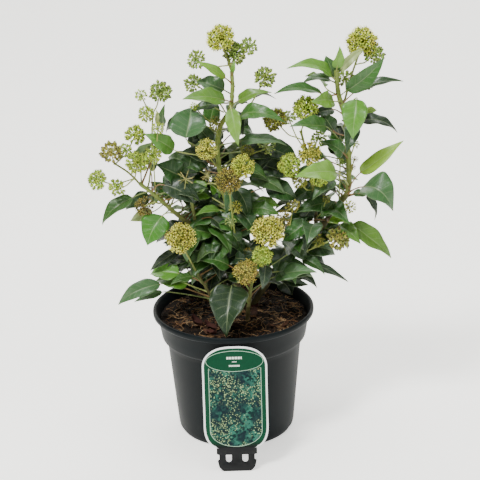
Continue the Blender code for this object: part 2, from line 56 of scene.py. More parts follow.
# Shoots: path points (x, y, z above the mix) in cm, radius in cm at the bottom and at the top.
SHOOTS = {
    "left": ([(-0.5, 0.9, -3), (-0.5, 0.9, 0), (-0.5, 0.6, 5.4), (-3.2, 0.1, 9.8), (-5.0, -0.3, 11.3),
              (-6.5, -0.5, 12.7), (-8.4, -1.0, 14.8), (-9.9, -1.2, 16.2)], 0.38, 0.20),
    "tall": ([(0.6, -0.6, -3), (0.6, -0.6, 0), (0.4, -0.5, 8.0), (0.2, -0.2, 10.0), (-0.5, 0.3, 13.5),
              (-1.1, 0.9, 17.0), (-1.2, 1.0, 20.0), (-0.7, 1.0, 22.0), (0.3, 0.8, 23.8),
              (0.6, 0.7, 25.8), (0.6, 0.7, 28.0)], 0.36, 0.22),
    "right": ([(1.0, 1.4, -3), (2.2, 1.6, 0), (5.6, 2.0, 4.9), (8.3, 2.0, 7.3), (10.7, 1.5, 10.1),
               (12.4, 1.0, 12.6), (13.2, 0.8, 14.0), (13.3, 0.8, 17.0), (13.1, 0.8, 20.0),
               (12.9, 0.8, 22.3), (12.4, 0.7, 24.1), (12.0, 0.6, 26.0), (11.9, 0.5, 27.8)], 0.44, 0.24),
    "front": ([(1.6, -2.4, -3), (1.6, -2.4, 0), (1.9, -2.7, 3.0), (2.4, -2.9, 6.0)], 0.26, 0.18),
    "low_left": ([(-1.6, -1.5, -3), (-1.6, -1.5, 0), (-2.6, -1.9, 3.0), (-3.6, -2.4, 5.2),
                  (-4.4, -2.9, 7.2)], 0.20, 0.13),
    "back": ([(-0.6, 3.0, -3), (-0.6, 3.0, 0), (-1.2, 4.2, 5.0), (-1.6, 5.0, 10.0), (-1.2, 5.4, 14.5)],
             0.30, 0.18),
}
SIDE_SHOOTS = {
    "left": [([(-3.7, 0.0, 10.2), (-4.0, -0.4, 11.6), (-4.3, -0.9, 14.0), (-4.7, -1.2, 16.2)], 0.22, 0.15)],
    "right": [([(8.8, 1.9, 7.8), (9.6, 1.6, 9.6), (9.5, 1.1, 13.0), (9.1, 0.9, 15.4)], 0.24, 0.18)],
}
GREEN_FROM = {"left": 11.5, "tall": 9.0, "right": 13.6, "front": 3.0, "low_left": 5.0, "back": 8.0}

# Flower clusters: the stalk's points, its radius, and the umbels (x, y, z, radius, kind) in cm.
FLOWERS = {
    "tall_top": ([(0.4, 0.9, 28.4), (0.1, 1.1, 29.4), (-0.5, 1.2, 31.2)], 0.12,
                 [(-0.5, 1.2, 31.5, 1.55, "gold"), (2.5, 1.0, 30.6, 0.90, "green"),
                  (1.0, 2.2, 29.6, 1.20, "green"), (-3.2, 1.0, 29.3, 0.95, "green")]),
    "tall_right": ([(1.3, 1.4, 23.0), (2.6, 1.3, 24.2), (4.1, 0.9, 26.9)], 0.09,
                   [(4.2, 0.9, 27.2, 1.10, "green")]),
    "tall_left": ([(-0.6, 2.0, 23.8), (-1.8, 2.9, 24.9), (-3.6, 2.8, 26.2)], 0.09,
                  [(-3.7, 2.8, 26.3, 0.95, "green")]),
    "right_top": ([(12.9, 1.3, 24.4), (13.7, 2.0, 27.0), (14.8, 2.5, 30.0)], 0.12,
                  [(14.8, 2.5, 30.4, 1.70, "gold"), (16.1, 2.2, 29.1, 1.10, "green"),
                   (13.0, 2.2, 26.5, 0.90, "green"), (15.3, 2.0, 26.4, 1.00, "green")]),
    "inner_right": ([(9.0, 0.7, 15.9), (8.6, 0.9, 18.5), (8.0, 1.2, 21.0)], 0.15,
                    [(8.6, 0.0, 23.8, 1.30, "lime"), (5.2, 1.5, 22.2, 1.35, "olive"),
                     (10.0, 1.5, 20.0, 0.85, "green"), (8.9, -1.0, 19.0, 1.30, "straw"),
                     (6.7, -1.5, 17.9, 1.20, "lime")]),
    "right_low": ([(7.2, 0.2, 6.6), (9.0, -0.6, 7.7), (11.2, -1.3, 8.9)], 0.10,
                  [(12.0, -1.5, 9.2, 1.35, "berry"), (9.7, -1.1, 8.9, 0.80, "olive")]),
    "left_top": ([(-8.9, -0.6, 15.9), (-8.5, -0.4, 18.5), (-8.3, -0.2, 21.5), (-8.1, 0.0, 23.8)], 0.10,
                 [(-7.2, 0.0, 26.1, 1.10, "green"), (-9.3, 0.3, 25.7, 0.65, "lime"),
                  (-8.8, -0.6, 23.9, 0.85, "lime")]),
    "left_end": ([(-10.2, -1.3, 16.6), (-11.1, -1.4, 17.6), (-12.5, -1.6, 18.7)], 0.12,
                 [(-10.1, -0.5, 21.5, 1.05, "lime"), (-11.3, -0.8, 19.9, 0.75, "lime"),
                  (-10.0, -1.9, 18.8, 1.15, "lime"), (-12.7, -2.0, 20.0, 1.25, "berry"),
                  (-14.4, -1.5, 16.8, 1.05, "lime"), (-12.3, -2.1, 16.1, 0.90, "lime")]),
    "left_low": ([(-8.3, -1.6, 14.1), (-8.9, -1.4, 13.8), (-9.4, -1.1, 13.5)], 0.10,
                 [(-9.5, -1.0, 13.4, 1.10, "umber")]),
    "middle_left": ([(-1.2, 0.3, 17.2), (-1.8, -0.9, 18.4), (-2.3, -1.9, 19.8)], 0.09,
                    [(-2.3, -2.0, 20.1, 1.15, "straw")]),
    "middle_right": ([(-0.1, 0.2, 16.2), (1.8, 0.1, 18.4), (4.0, 0.5, 19.2)], 0.09,
                     [(2.0, 0.0, 19.2, 0.80, "olive"), (4.2, 0.5, 19.5, 1.00, "pale")]),
    "middle": ([(0.5, -1.3, 9.2), (0.2, -2.2, 12.6), (0.0, -3.2, 15.5)], 0.11,
               [(1.5, -3.0, 18.4, 1.25, "gold"), (-0.1, -3.5, 16.9, 1.40, "umber"),
                (0.6, -2.3, 13.5, 0.75, "straw")]),
    "front": ([(2.6, -3.0, 6.4), (3.2, -3.3, 8.4), (4.0, -3.8, 10.6)], 0.13,
              [(4.1, -4.0, 11.2, 1.75, "straw"), (5.8, -3.2, 12.3, 0.90, "umber"),
               (3.4, -4.9, 8.7, 1.05, "lime"), (1.5, -4.5, 6.7, 1.35, "open")]),
    "left_front": ([(-4.6, -3.1, 7.7), (-5.2, -3.4, 9.2), (-5.5, -3.5, 10.4)], 0.10,
                   [(-5.5, -3.5, 10.5, 1.65, "straw")]),
}

# Leaves of each shoot: height where the petiole leaves the shoot, blade base, tip, width, the way the
# upper side faces, how far the midrib arches, and its tone. Lengths in cm. Each row here stands for the
# CAD leaf of the same place in the list.
LEAVES = {
    "tall": [
        (26.6, (-0.1, 0.1, 27.4), (-3.0, -0.8, 29.5), 1.1, (-0.3, -1, 1), 0.25, "bright"),
        (24.7, (-0.2, -0.4, 25.1), (-4.7, -1.8, 25.8), 2.0, (0, -1, 1), 0.55, "fresh"),
        (24.2, (1.2, 0.0, 24.9), (4.6, -0.9, 26.2), 1.5, (0, -1, 1), 0.50, "fresh"),
        (22.6, (1.4, -0.8, 23.4), (6.1, -3.0, 23.3), 2.0, (0, -1.2, 1), 1.40, "mid"),
        (23.6, (0.4, -0.9, 24.3), (1.0, -2.6, 20.6), 1.7, (-0.3, -2, 0.5), 0.35, "lime"),
        (19.0, (-4.6, -1.2, 21.2), (-4.0, 0.9, 24.2), 4.0, (-0.2, -2, 1.6), 0.30, "sheen_grey"),
        (18.2, (-6.0, -0.5, 19.7), (-8.8, -1.8, 22.0), 2.1, (-0.3, -1.2, 1), 0.45, "fresh"),
        (19.6, (1.4, -0.9, 20.6), (6.3, -1.6, 20.5), 1.7, (0, -1, 1.6), 0.45, "sheen_grey"),
        (11.8, (-1.2, -0.6, 12.6), (-3.8, -1.8, 12.7), 1.0, (0, -1, 1.5), 0.25, "fresh"),
    ],
    "left": [
        (13.0, (-5.4, 0.1, 16.5), (-7.9, -0.9, 18.2), 3.0, (-0.2, -1.5, 1), 0.35, "dark"),
        (12.2, (-7.5, -1.6, 12.5), (-9.3, -3.0, 9.6), 3.3, (-0.4, -1.5, 0.8), 0.45, "round"),
        (15.2, (-10.7, -1.6, 14.7), (-14.4, -2.4, 12.2), 1.9, (-0.5, -1, 1), 0.35, "mid"),
        (9.0, (-6.1, -0.9, 8.0), (-9.3, -1.5, 6.0), 1.4, (0, -1, 0.6), 0.20, "deep"),
    ],
    "low_left": [
        (4.4, (-4.5, -3.1, 5.8), (-6.8, -4.2, 5.4), 1.5, (-0.3, -0.6, 1), 0.20, "mid"),
        (2.6, (-8.1, -2.0, 4.5), (-13.0, -3.0, 2.7), 1.9, (0, -1, 0.8), 0.45, "sheen_grey"),
    ],
    "right": [
        (27.0, (11.4, 0.0, 27.2), (6.8, -1.5, 29.1), 1.6, (0, -1, 1.3), 0.85, "bright"),
        (27.6, (11.9, 0.1, 28.2), (12.2, -0.5, 30.6), 1.3, (0.2, -1, 0.3), 0.20, "lime"),
        (25.2, (10.3, -0.4, 25.5), (5.2, -1.0, 26.3), 1.3, (0, -1, 2), 0.55, "mid"),
        (24.4, (11.5, -0.6, 24.7), (9.0, -2.4, 25.2), 1.9, (0.2, -1.5, 1), 0.45, "bright"),
        (24.8, (12.9, -0.5, 25.8), (16.8, -1.5, 29.4), 2.1, (0.4, -1.6, 0.3), 0.35, "mid"),
        (23.9, (14.3, 0.6, 25.6), (19.1, 0.4, 26.6), 1.3, (0, -0.7, 1), 0.70, "dark"),
        (23.2, (13.9, -2.0, 25.2), (13.2, -3.8, 21.4), 2.8, (-0.6, -1.6, 0.6), 0.50, "fresh"),
        (21.6, (14.3, 0.4, 22.2), (18.6, 0.0, 21.0), 1.6, (0, -0.8, 1.2), 1.00, "deep"),
        (18.6, (10.6, -1.2, 22.1), (6.8, -3.0, 22.9), 2.1, (0, -1.3, 1.2), 0.40, "mid"),
        (17.6, (12.6, -0.2, 18.7), (10.2, -1.0, 20.4), 1.9, (0.2, -1.3, 1), 0.30, "mid"),
        (14.6, (11.6, -3.0, 17.4), (7.2, -4.5, 17.8), 2.4, (0, -1.2, 1), 0.80, "lime"),
        (14.0, (14.4, -0.9, 16.6), (18.9, -1.5, 20.4), 1.8, (-0.5, -1.2, 0.8), 0.30, "lime"),
        (13.6, (14.6, -1.6, 15.2), (17.8, -3.6, 13.2), 3.8, (0.3, -1.2, 1), 1.50, "sheen_grey"),
        (11.4, (13.6, 0.0, 10.3), (18.2, -1.0, 6.6), 2.4, (0.6, -1.4, 1), 0.60, "fresh"),
        (6.6, (8.4, 0.0, 6.0), (13.1, -1.9, 4.2), 1.2, (0, -0.6, 1), 0.35, "deep"),
    ],
    "front": [
        (2.0, (-0.1, -4.4, 5.0), (-0.8, -8.5, 0.9), 4.2, (0, -1, 1), 0.55, "deep"),
        (3.6, (4.8, -2.4, 5.2), (9.3, -4.1, 6.4), 2.4, (0, -1, 1.5), 0.30, "sheen_grey"),
        (5.4, (6.6, -3.0, 8.4), (5.6, -4.6, 10.2), 1.6, (0.6, -1.5, 0.5), 0.25, "deep"),
    ],
    "back": [
        (8.0, (-4.0, 5.6, 9.6), (-7.6, 6.6, 10.4), 2.9, (-0.3, 1, 1.4), 0.45, "dark"),
        (11.0, (0.4, 6.8, 12.4), (3.8, 8.0, 12.4), 2.8, (0.3, 1, 1.4), 0.45, "mid"),
        (13.8, (-2.4, 5.8, 16.4), (-4.4, 6.6, 19.4), 2.6, (-0.2, 1.4, 1), 0.35, "dark"),
        (5.0, (2.0, 5.6, 6.2), (5.4, 7.0, 5.6), 2.6, (0.3, 1, 1.2), 0.45, "mid"),
    ],
}

# Further leaves that the CAD model leaves out, in the same form.
MORE_LEAVES = {
    "tall": [
        (15.4, (3.4, 1.6, 17.2), (7.6, 1.0, 15.6), 2.8, (0, -1, 1), 0.50, "deep"),
        (16.8, (4.4, 2.4, 18.8), (7.8, 1.8, 17.2), 2.6, (0, -1.2, 1), 0.40, "dark"),
        (13.0, (4.0, 0.8, 14.6), (7.6, 0.4, 13.4), 2.6, (0, -1, 1), 0.50, "dark"),
        (27.4, (0.6, 0.2, 28.0), (0.9, -0.4, 29.4), 0.5, (0, -1, 0.3), 0.10, "lime"),
        (25.4, (-0.3, 1.3, 25.8), (-3.3, 1.9, 26.8), 2.2, (0, -1.2, 1), 0.55, "sheen_grey"),
        (24.5, (-0.9, 0.6, 24.5), (-4.2, 0.4, 23.8), 1.4, (0, -1, 1.4), 0.40, "dark"),
        (23.6, (1.3, 2.0, 24.1), (5.3, 2.4, 24.9), 1.5, (0, -1, 2.3), 0.55, "deep"),
        (18.4, (-4.0, 1.8, 19.5), (-4.2, 2.2, 21.9), 1.5, (0.6, -1, 0.3), 0.20, "deep"),
        (18.8, (-1.9, 2.2, 19.6), (-3.6, 2.9, 21.6), 1.9, (0, -1, 1), 0.30, "dark"),
        (17.4, (-2.4, 2.0, 17.0), (-4.9, 2.8, 18.4), 2.2, (0, -1.2, 1), 0.30, "dark"),
        (20.6, (-2.0, 2.4, 21.8), (-1.2, 3.2, 24.4), 2.0, (0, -1.3, 0.8), 0.30, "mid"),
        (13.4, (2.2, 0.6, 16.0), (6.2, -0.4, 14.4), 2.0, (0, -1.2, 1), 0.40, "sheen_grey"),
        (14.0, (0.3, 0.3, 15.2), (-0.5, -1.0, 12.4), 1.6, (0, -1, 0.3), 0.20, "sheen_grey"),
        (12.6, (-2.4, 1.2, 13.4), (-4.2, 1.6, 14.8), 1.6, (0, -1, 1), 0.25, "dark"),
        (10.6, (-1.4, 1.4, 11.0), (-3.4, 0.6, 9.4), 1.7, (0, -1.4, 1), 0.30, "deep"),
        (10.0, (1.5, 1.2, 11.6), (2.0, 0.4, 9.6), 1.5, (0.2, -1.4, 0.6), 0.30, "deep"),
        (16.4, (3.0, 1.6, 16.4), (4.6, 1.0, 17.9), 1.3, (0, -1, 1), 0.30, "deep"),
        (21.4, (1.6, 1.8, 21.6), (2.2, 1.4, 22.9), 0.9, (0.4, -1, 0.4), 0.20, "deep"),
        (7.0, (1.4, -1.8, 7.4), (2.6, -3.2, 8.4), 1.3, (0, -1.4, 0.8), 0.20, "deep"),
        (22.0, (0.4, 3.4, 22.6), (2.2, 5.6, 23.4), 2.2, (0.2, 1, 1.4), 0.45, "mid"),
        (15.4, (1.6, 3.4, 15.8), (4.4, 5.2, 16.6), 2.5, (0.3, 1, 1.4), 0.45, "dark"),
    ],
    "left": [
        (14.4, (-9.0, 0.4, 14.2), (-11.8, 0.0, 12.9), 1.8, (0, -1, 1), 0.30, "dark"),
        (13.6, (-8.8, 0.9, 12.1), (-11.3, 0.4, 11.3), 1.6, (0, -1, 1), 0.25, "pale"),
        (13.4, (-4.6, 0.9, 16.6), (-4.0, 1.6, 18.9), 2.6, (0, -1.5, 1), 0.30, "dark"),
        (14.2, (-6.8, -0.2, 14.6), (-8.8, 0.4, 15.9), 1.3, (0, -1, 1), 0.25, "mid"),
        (16.0, (-7.0, 0.2, 22.2), (-6.9, -0.5, 24.8), 1.0, (-1, -1, 0.2), 0.25, "sheen_grey"),
        (16.0, (-7.1, 0.6, 22.3), (-7.8, 0.4, 23.9), 1.2, (-0.4, -1, 0.4), 0.25, "pale"),
        (8.4, (-6.1, -1.0, 6.8), (-7.5, -1.4, 5.9), 0.8, (0, -1, 0.6), 0.15, "deep"),
        (11.8, (-5.6, 2.4, 12.6), (-8.4, 4.4, 13.4), 2.6, (-0.3, 1, 1.3), 0.45, "mid"),
        (15.0, (-8.8, 1.8, 16.6), (-10.6, 4.0, 17.6), 2.2, (-0.2, 1, 1.3), 0.40, "dark"),
        (16.0, (-9.8, 1.2, 17.4), (-8.6, 3.4, 19.6), 2.2, (0.2, 1.2, 1), 0.35, "mid"),
    ],
    "low_left": [
        (2.4, (-8.0, -1.2, 3.2), (-11.3, -1.4, 2.2), 0.9, (0, -1, 1), 0.20, "sheen_grey"),
        (1.6, (-5.2, 1.6, 3.0), (-8.6, 3.6, 2.9), 2.2, (-0.3, 0.8, 1.3), 0.40, "dark"),
    ],
    "right": [
        (27.0, (11.6, 0.9, 27.0), (10.8, 1.2, 29.3), 1.9, (0, -1, 0.5), 0.25, "mid"),
        (27.2, (12.3, 0.9, 27.6), (15.2, 1.2, 30.3), 1.0, (0.3, -1, 0.8), 0.30, "pale"),
        (26.2, (11.3, 0.5, 26.7), (8.1, 0.1, 26.8), 1.2, (0, -1, 2), 0.50, "mid"),
        (22.8, (13.9, -0.3, 24.0), (14.6, -0.9, 22.4), 1.7, (0.5, -1.2, 0.5), 0.25, "fresh"),
        (22.4, (15.0, 1.0, 22.8), (16.4, 1.2, 23.1), 0.9, (0, -1, 1), 0.35, "lime"),
        (20.4, (11.5, -0.2, 21.3), (10.2, 0.4, 23.2), 1.7, (0.3, -1, 0.6), 0.25, "dark"),
        (22.6, (11.6, 0.8, 23.4), (9.1, -0.2, 23.0), 1.4, (0, -1, 1.2), 0.30, "deep"),
        (13.8, (13.7, 0.2, 13.8), (16.2, 0.6, 13.8), 1.1, (0, -1, 1.4), 0.20, "mid"),
        (13.2, (15.2, -0.4, 13.8), (16.3, -0.9, 11.1), 1.0, (0.8, -1, 0.3), 0.25, "deep"),
        (10.6, (11.0, -0.5, 10.9), (13.2, -1.2, 11.1), 1.3, (0, -1, 1.6), 0.20, "lime"),
        (7.6, (8.5, -0.2, 7.2), (5.8, -1.6, 8.8), 2.5, (0, -1.5, 1), 0.35, "dark"),
        (6.0, (8.0, -0.6, 6.6), (10.4, -2.0, 5.3), 1.4, (0, -1, 1), 0.30, "dark"),
        (9.6, (8.2, 1.0, 10.6), (9.6, 0.6, 12.9), 1.7, (0, -1.2, 0.6), 0.25, "deep"),
        (11.2, (11.6, 0.2, 13.0), (10.0, -0.4, 11.4), 1.7, (-0.2, -1.2, 0.6), 0.25, "mid"),
        (12.6, (11.8, 0.2, 14.6), (9.8, -0.2, 15.1), 1.4, (0, -1.1, 1), 0.30, "deep"),
        (2.6, (5.4, 3.0, 2.6), (6.9, 2.2, 0.9), 2.0, (0, -1, 1), 0.25, "deep"),
        (4.0, (6.2, -0.8, 4.0), (8.6, -1.2, 3.6), 1.1, (0, -1, 0.8), 0.15, "deep"),
        (12.0, (12.8, 2.6, 13.4), (14.6, 4.8, 14.2), 2.4, (0.3, 1, 1.3), 0.45, "mid"),
        (16.6, (12.4, 2.8, 17.4), (10.4, 5.0, 18.2), 2.4, (-0.2, 1, 1.3), 0.45, "dark"),
        (19.6, (14.2, 2.4, 20.6), (16.2, 4.4, 21.4), 2.2, (0.3, 1, 1.2), 0.40, "mid"),
        (8.4, (8.0, 4.2, 9.4), (5.6, 6.4, 10.0), 2.6, (-0.2, 1, 1.3), 0.45, "dark"),
        (25.0, (10.8, 2.2, 25.6), (8.8, 4.0, 26.6), 1.8, (-0.2, 1, 1.3), 0.40, "fresh"),
    ],
    "front": [
        (5.0, (3.7, -4.0, 7.2), (3.3, -5.4, 4.9), 1.5, (0.3, -1.5, 0.4), 0.20, "deep"),
        (4.0, (0.4, -2.0, 7.4), (1.8, -2.9, 7.6), 1.5, (0, -1.3, 0.8), 0.20, "deep"),
    ],
    "back": [
        (4.0, (-4.2, 5.0, 5.0), (-7.8, 6.2, 4.4), 2.8, (-0.3, 1, 1.2), 0.45, "mid"),
        (12.4, (-4.0, 6.6, 13.8), (-6.8, 8.2, 14.2), 2.6, (-0.3, 1, 1.3), 0.45, "sheen_grey"),
        (13.6, (0.2, 6.4, 15.6), (1.6, 7.6, 18.6), 2.5, (0.2, 1.3, 1), 0.35, "dark"),
        (9.4, (1.4, 7.0, 9.6), (4.8, 8.4, 9.0), 2.7, (0.3, 1, 1.2), 0.45, "dark"),
        (14.2, (-1.2, 5.2, 16.0), (-0.8, 4.6, 19.0), 2.0, (0.2, -1, 0.6), 0.30, "dark"),
    ],
}

# Upper-side colours of the leaves, as on a colour picker from 0 to 255. The grey one is a dull grey-green with
# painted sheen in it: the grey cast that light lays on glossy dark leaves.
TONES = {
    "lime": (112, 156, 50), "bright": (96, 142, 36), "fresh": (78, 122, 32), "round": (50, 106, 18),
    "mid": (42, 86, 24), "dark": (26, 62, 20), "deep": (13, 38, 18), "sheen_grey": (58, 92, 48),
    "pale": (160, 182, 120),
}
YOUNG = ("lime", "bright", "fresh", "round")
VEIN_SLANT = 0.17         # how far a side vein climbs from the midrib to the edge, in blade lengths
VEIN_PITCH = 44           # side veins: radians of their wave along a blade

SWELL = {"green": 1.12, "lime": 1.08, "pale": 1.1}     # how much looser than its ball a cluster is

# Florets: how many to a square cm of ball, the bud's size, then the colours of stalk, ovary, disc and
# anthers.
KINDS = {
    "gold": (3.5, 0.124, (130, 138, 44), (170, 182, 48), (30, 20, 10), (255, 248, 104)),
    "straw": (3.4, 0.124, (130, 132, 48), (168, 168, 54), (34, 22, 12), (255, 246, 116)),
    "lime": (4.8, 0.150, (136, 160, 60), (160, 184, 62), (50, 54, 22), (196, 208, 78)),
    "green": (4.4, 0.155, (130, 154, 72), (140, 164, 68), (32, 28, 18), None),
    "olive": (4.6, 0.140, (98, 104, 42), (118, 124, 42), (40, 32, 16), (156, 150, 52)),
    "umber": (3.6, 0.118, (88, 82, 36), (106, 98, 42), (24, 18, 10), (196, 174, 72)),
    "pale": (3.4, 0.125, (160, 176, 116), (148, 166, 88), (56, 52, 32), None),
    "open": (3.0, 0.130, (146, 140, 70), (146, 136, 58), (48, 32, 20), (226, 206, 92)),
    "berry": (2.2, 0.175, (150, 152, 80), (140, 138, 58), (50, 34, 22), None),
    "bare": (0.8, 0.045, (170, 164, 100), (130, 110, 60), (60, 40, 26), None),
}


# ---------------------------------------------------------------- shader maths

def linear(colour):
    """A 0 to 255 picker colour as linear values."""
    return tuple(v / 12.92 if v <= 0.04045 else ((v + 0.055) / 1.055) ** 2.4 for v in (c / 255 for c in colour))


class Value:
    """A number socket that adds a Math node for each operator."""

    def __init__(self, material, socket):
        self.material = material
        self.socket = socket

    def math(self, operation, *others):
        return self.material.node("ShaderNodeMath", {"operation": operation}, {
            index: other for index, other in enumerate((self, *others))})

    def __add__(self, other):
        return self.math("ADD", other)

    def __sub__(self, other):
        return self.math("SUBTRACT", other)

    def __rsub__(self, other):
        return self.material.node("ShaderNodeMath", {"operation": "SUBTRACT"}, {0: other, 1: self})

    def __mul__(self, other):
        return self.math("MULTIPLY", other)

    __radd__ = __add__
    __rmul__ = __mul__

    def size(self):
        return self.math("ABSOLUTE")

    def sine(self):
        return self.math("SINE")

    def most(self, other):
        return self.math("MAXIMUM", other)

    def step(self, low, high):
        """0 below low and 1 above high, smooth between; the other way round when low is above high."""
        return self.material.node("ShaderNodeMapRange", {"interpolation_type": "SMOOTHSTEP"}, {
            "Value": self, "From Min": low, "From Max": high})


class Finish:
    """A material under construction."""

    def __init__(self, name, **sockets):
        self.material = bpy.data.materials.new(name)
        self.material.use_nodes = True
        self.tree = self.material.node_tree
        self.shader = self.tree.nodes["Principled BSDF"]
        for socket, value in sockets.items():
            self.shader.inputs[socket.replace("_", " ")].default_value = value

    def put(self, socket, value):
        if isinstance(value, Value):
            self.tree.links.new(value.socket, socket)
        elif isinstance(value, (tuple, list)) and socket.type == "RGBA":
            socket.default_value = (*value[:3], 1)
        else:
            socket.default_value = value

    def node(self, kind, settings=None, sockets=None, out=0):
        made = self.tree.nodes.new(kind)
        for name, value in (settings or {}).items():
            setattr(made, name, value)
        for name, value in (sockets or {}).items():
            self.put(made.inputs[name], value)
        return Value(self, made.outputs[out])

    def uv(self):
        vector = self.node("ShaderNodeUVMap", {"uv_map": "UVMap"})
        parts = self.tree.nodes.new("ShaderNodeSeparateXYZ")
        self.tree.links.new(vector.socket, parts.inputs[0])
        return Value(self, parts.outputs[0]), Value(self, parts.outputs[1])

    def place(self):
        return self.node("ShaderNodeTexCoord", out=3)

    def height(self):
        """World height, since every finished piece sits at the origin."""
        return self.node("ShaderNodeSeparateXYZ", {}, {0: self.place()}, out=2)

    def tint(self):
        return self.node("ShaderNodeVertexColor", {"layer_name": "tint"})

    def noise(self, scale, detail=3, rough=0.5):
        return self.node("ShaderNodeTexNoise", {}, {
            "Vector": self.place(), "Scale": scale, "Detail": detail, "Roughness": rough})

    def cells(self, scale, feature="F1", out=0):
        return self.node("ShaderNodeTexVoronoi", {"feature": feature}, {
            "Vector": self.place(), "Scale": scale}, out)

    def blend(self, share, low, high):
        made = self.tree.nodes.new("ShaderNodeMix")
        made.data_type = "RGBA"
        self.put(made.inputs[0], share)
        self.put(made.inputs[6], low)
        self.put(made.inputs[7], high)
        return Value(self, made.outputs[2])

    def bump(self, height, strength, distance=0.001):
        return self.node("ShaderNodeBump", {}, {
            "Height": height, "Strength": strength, "Distance": distance})

    def surface(self, **sockets):
        for name, value in sockets.items():
            self.put(self.shader.inputs[name.replace("_", " ")], value)
        return self.material


def leaf_finish(name, under):
    """Waxy leaf: pale midrib and side veins on the piece's own UVs, mottling and a thin pale margin."""
    finish = Finish(name, Roughness=0.5, Specular_IOR_Level=0.35, Coat_Roughness=0.3,
                    Coat_Weight=0.0 if under else 0.12)
    across, along = finish.uv()
    offset = (across - 0.5).size() * 2
    midrib = offset.step(0.075, 0.015)
    climb = (along - offset * VEIN_SLANT) * VEIN_PITCH
    veins = climb.sine().step(0.86, 0.99) * offset.step(1.0, 0.55) * along.step(0.02, 0.10)
    net = finish.cells(900, feature="DISTANCE_TO_EDGE").step(0.12, 0.0)
    mottle = finish.noise(90, 4)
    margin = offset.step(0.93, 1.0)
    tint = finish.tint()
    pale = finish.blend(0.55, tint, (0.42, 0.50, 0.24))
    deep = finish.blend(0.5, tint, (0.004, 0.012, 0.003))
    colour = finish.blend(mottle.step(0.35, 0.75) * 0.45, tint, deep)
    colour = finish.blend(net * 0.12, colour, pale)
    colour = finish.blend((midrib * 0.40).most(veins * 0.13).most(margin * 0.12), colour, pale)
    if under:
        colour = finish.blend(0.45, colour, (0.20, 0.26, 0.12))
    relief = mottle * 0.4 - veins * 0.5 - midrib * 0.8 + net * 0.15
    return finish.surface(Base_Color=colour, Roughness=mottle * 0.2 + (0.55 if under else 0.24),
                          Normal=finish.bump(relief, 0.35, 0.0008))


def stalk_finish():
    """Leaf stalks: satin, with a faint flush of another tone."""
    finish = Finish("leaf_stalk", Roughness=0.5, Specular_IOR_Level=0.4)
    flush = finish.noise(110, 3)
    tint = finish.tint()
    return finish.surface(Base_Color=finish.blend(flush.step(0.5, 0.8) * 0.4, tint, (0.12, 0.07, 0.02)))


def bark_finish():
    """Stems: green or brown by height, with fine lengthwise cracks and small pale pores."""
    finish = Finish("stem_skin", Roughness=0.62, Specular_IOR_Level=0.35)
    _across, along = finish.uv()
    streaks = finish.noise(260, 4, rough=0.65)
    pores = finish.cells(420).step(0.16, 0.05)
    tint = finish.tint()
    dark = finish.blend(0.65, tint, (0.012, 0.009, 0.004))
    colour = finish.blend(streaks.step(0.45, 0.8) * 0.8, tint, dark)
    colour = finish.blend(pores * 0.35, colour, (0.35, 0.30, 0.16))
    rings = (along * 120).sine()
    relief = streaks + pores * 0.3 + rings * 0.05
    return finish.surface(Base_Color=colour, Normal=finish.bump(relief, 0.4, 0.0006))


def floret_finish():
    finish = Finish("floret_tissue", Roughness=0.6, Specular_IOR_Level=0.3)
    speckle = finish.noise(700, 2)
    tint = finish.tint()
    shade = finish.blend(0.5, tint, (0.03, 0.025, 0.008))
    return finish.surface(Base_Color=finish.blend(speckle.step(0.45, 0.75) * 0.5, tint, shade))


def peat_finish():
    finish = Finish("peat", Roughness=0.95, Specular_IOR_Level=0.15)
    coarse = finish.noise(160, 6, rough=0.7)
    crumbs = finish.cells(420)
    fibres = finish.noise(1100, 3, rough=0.8)
    colour = finish.blend(coarse.step(0.35, 0.7), linear((10, 8, 7)), linear((38, 29, 21)))
    colour = finish.blend(crumbs.step(0.30, 0.10) * 0.6, colour, linear((72, 56, 42)))
    colour = finish.blend(fibres.step(0.62, 0.72) * 0.5, colour, linear((120, 90, 64)))
    relief = coarse + crumbs * 0.6 + fibres * 0.3
    return finish.surface(Base_Color=colour, Normal=finish.bump(relief, 0.9, 0.002))


def crumb_finish():
    finish = Finish("peat_bits", Roughness=0.9, Specular_IOR_Level=0.2)
    grain = finish.noise(900, 3, rough=0.7)
    tint = finish.tint()
    dark = finish.blend(0.6, tint, (0.008, 0.005, 0.003))
    return finish.surface(Base_Color=finish.blend(grain.step(0.4, 0.7) * 0.7, tint, dark),
                          Normal=finish.bump(grain, 0.4, 0.0005))


def pot_finish():
    """Black moulded plastic: a fine satin grain, faint flow marks and a little dust in patches."""
    finish = Finish("black_plastic", Specular_IOR_Level=0.10)
    grain = finish.noise(2600, 2)
    flow = finish.noise(14, 4, rough=0.6)
    dust = finish.cells(900).step(0.06, 0.02) * finish.noise(60, 2).step(0.55, 0.7)
    colour = finish.blend(flow.step(0.3, 0.75), linear((6, 11, 13)), linear((11, 18, 20)))
    colour = finish.blend(dust * 0.6, colour, linear((120, 110, 96)))
    return finish.surface(Base_Color=colour, Roughness=flow * 0.16 + grain * 0.06 + 0.40,
                          Normal=finish.bump(grain * 0.5 + flow, 0.12, 0.0004))


def print_finish(name, colour):
    """A printed line or block of the label."""
    finish = Finish(name, Roughness=0.35)
    grain = finish.noise(1500, 2)
    darker = tuple(c * 0.86 for c in linear(colour))
    return finish.surface(Base_Color=finish.blend(grain.step(0.4, 0.7) * 0.5, linear(colour), darker),
                          Normal=finish.bump(grain, 0.05, 0.0002))


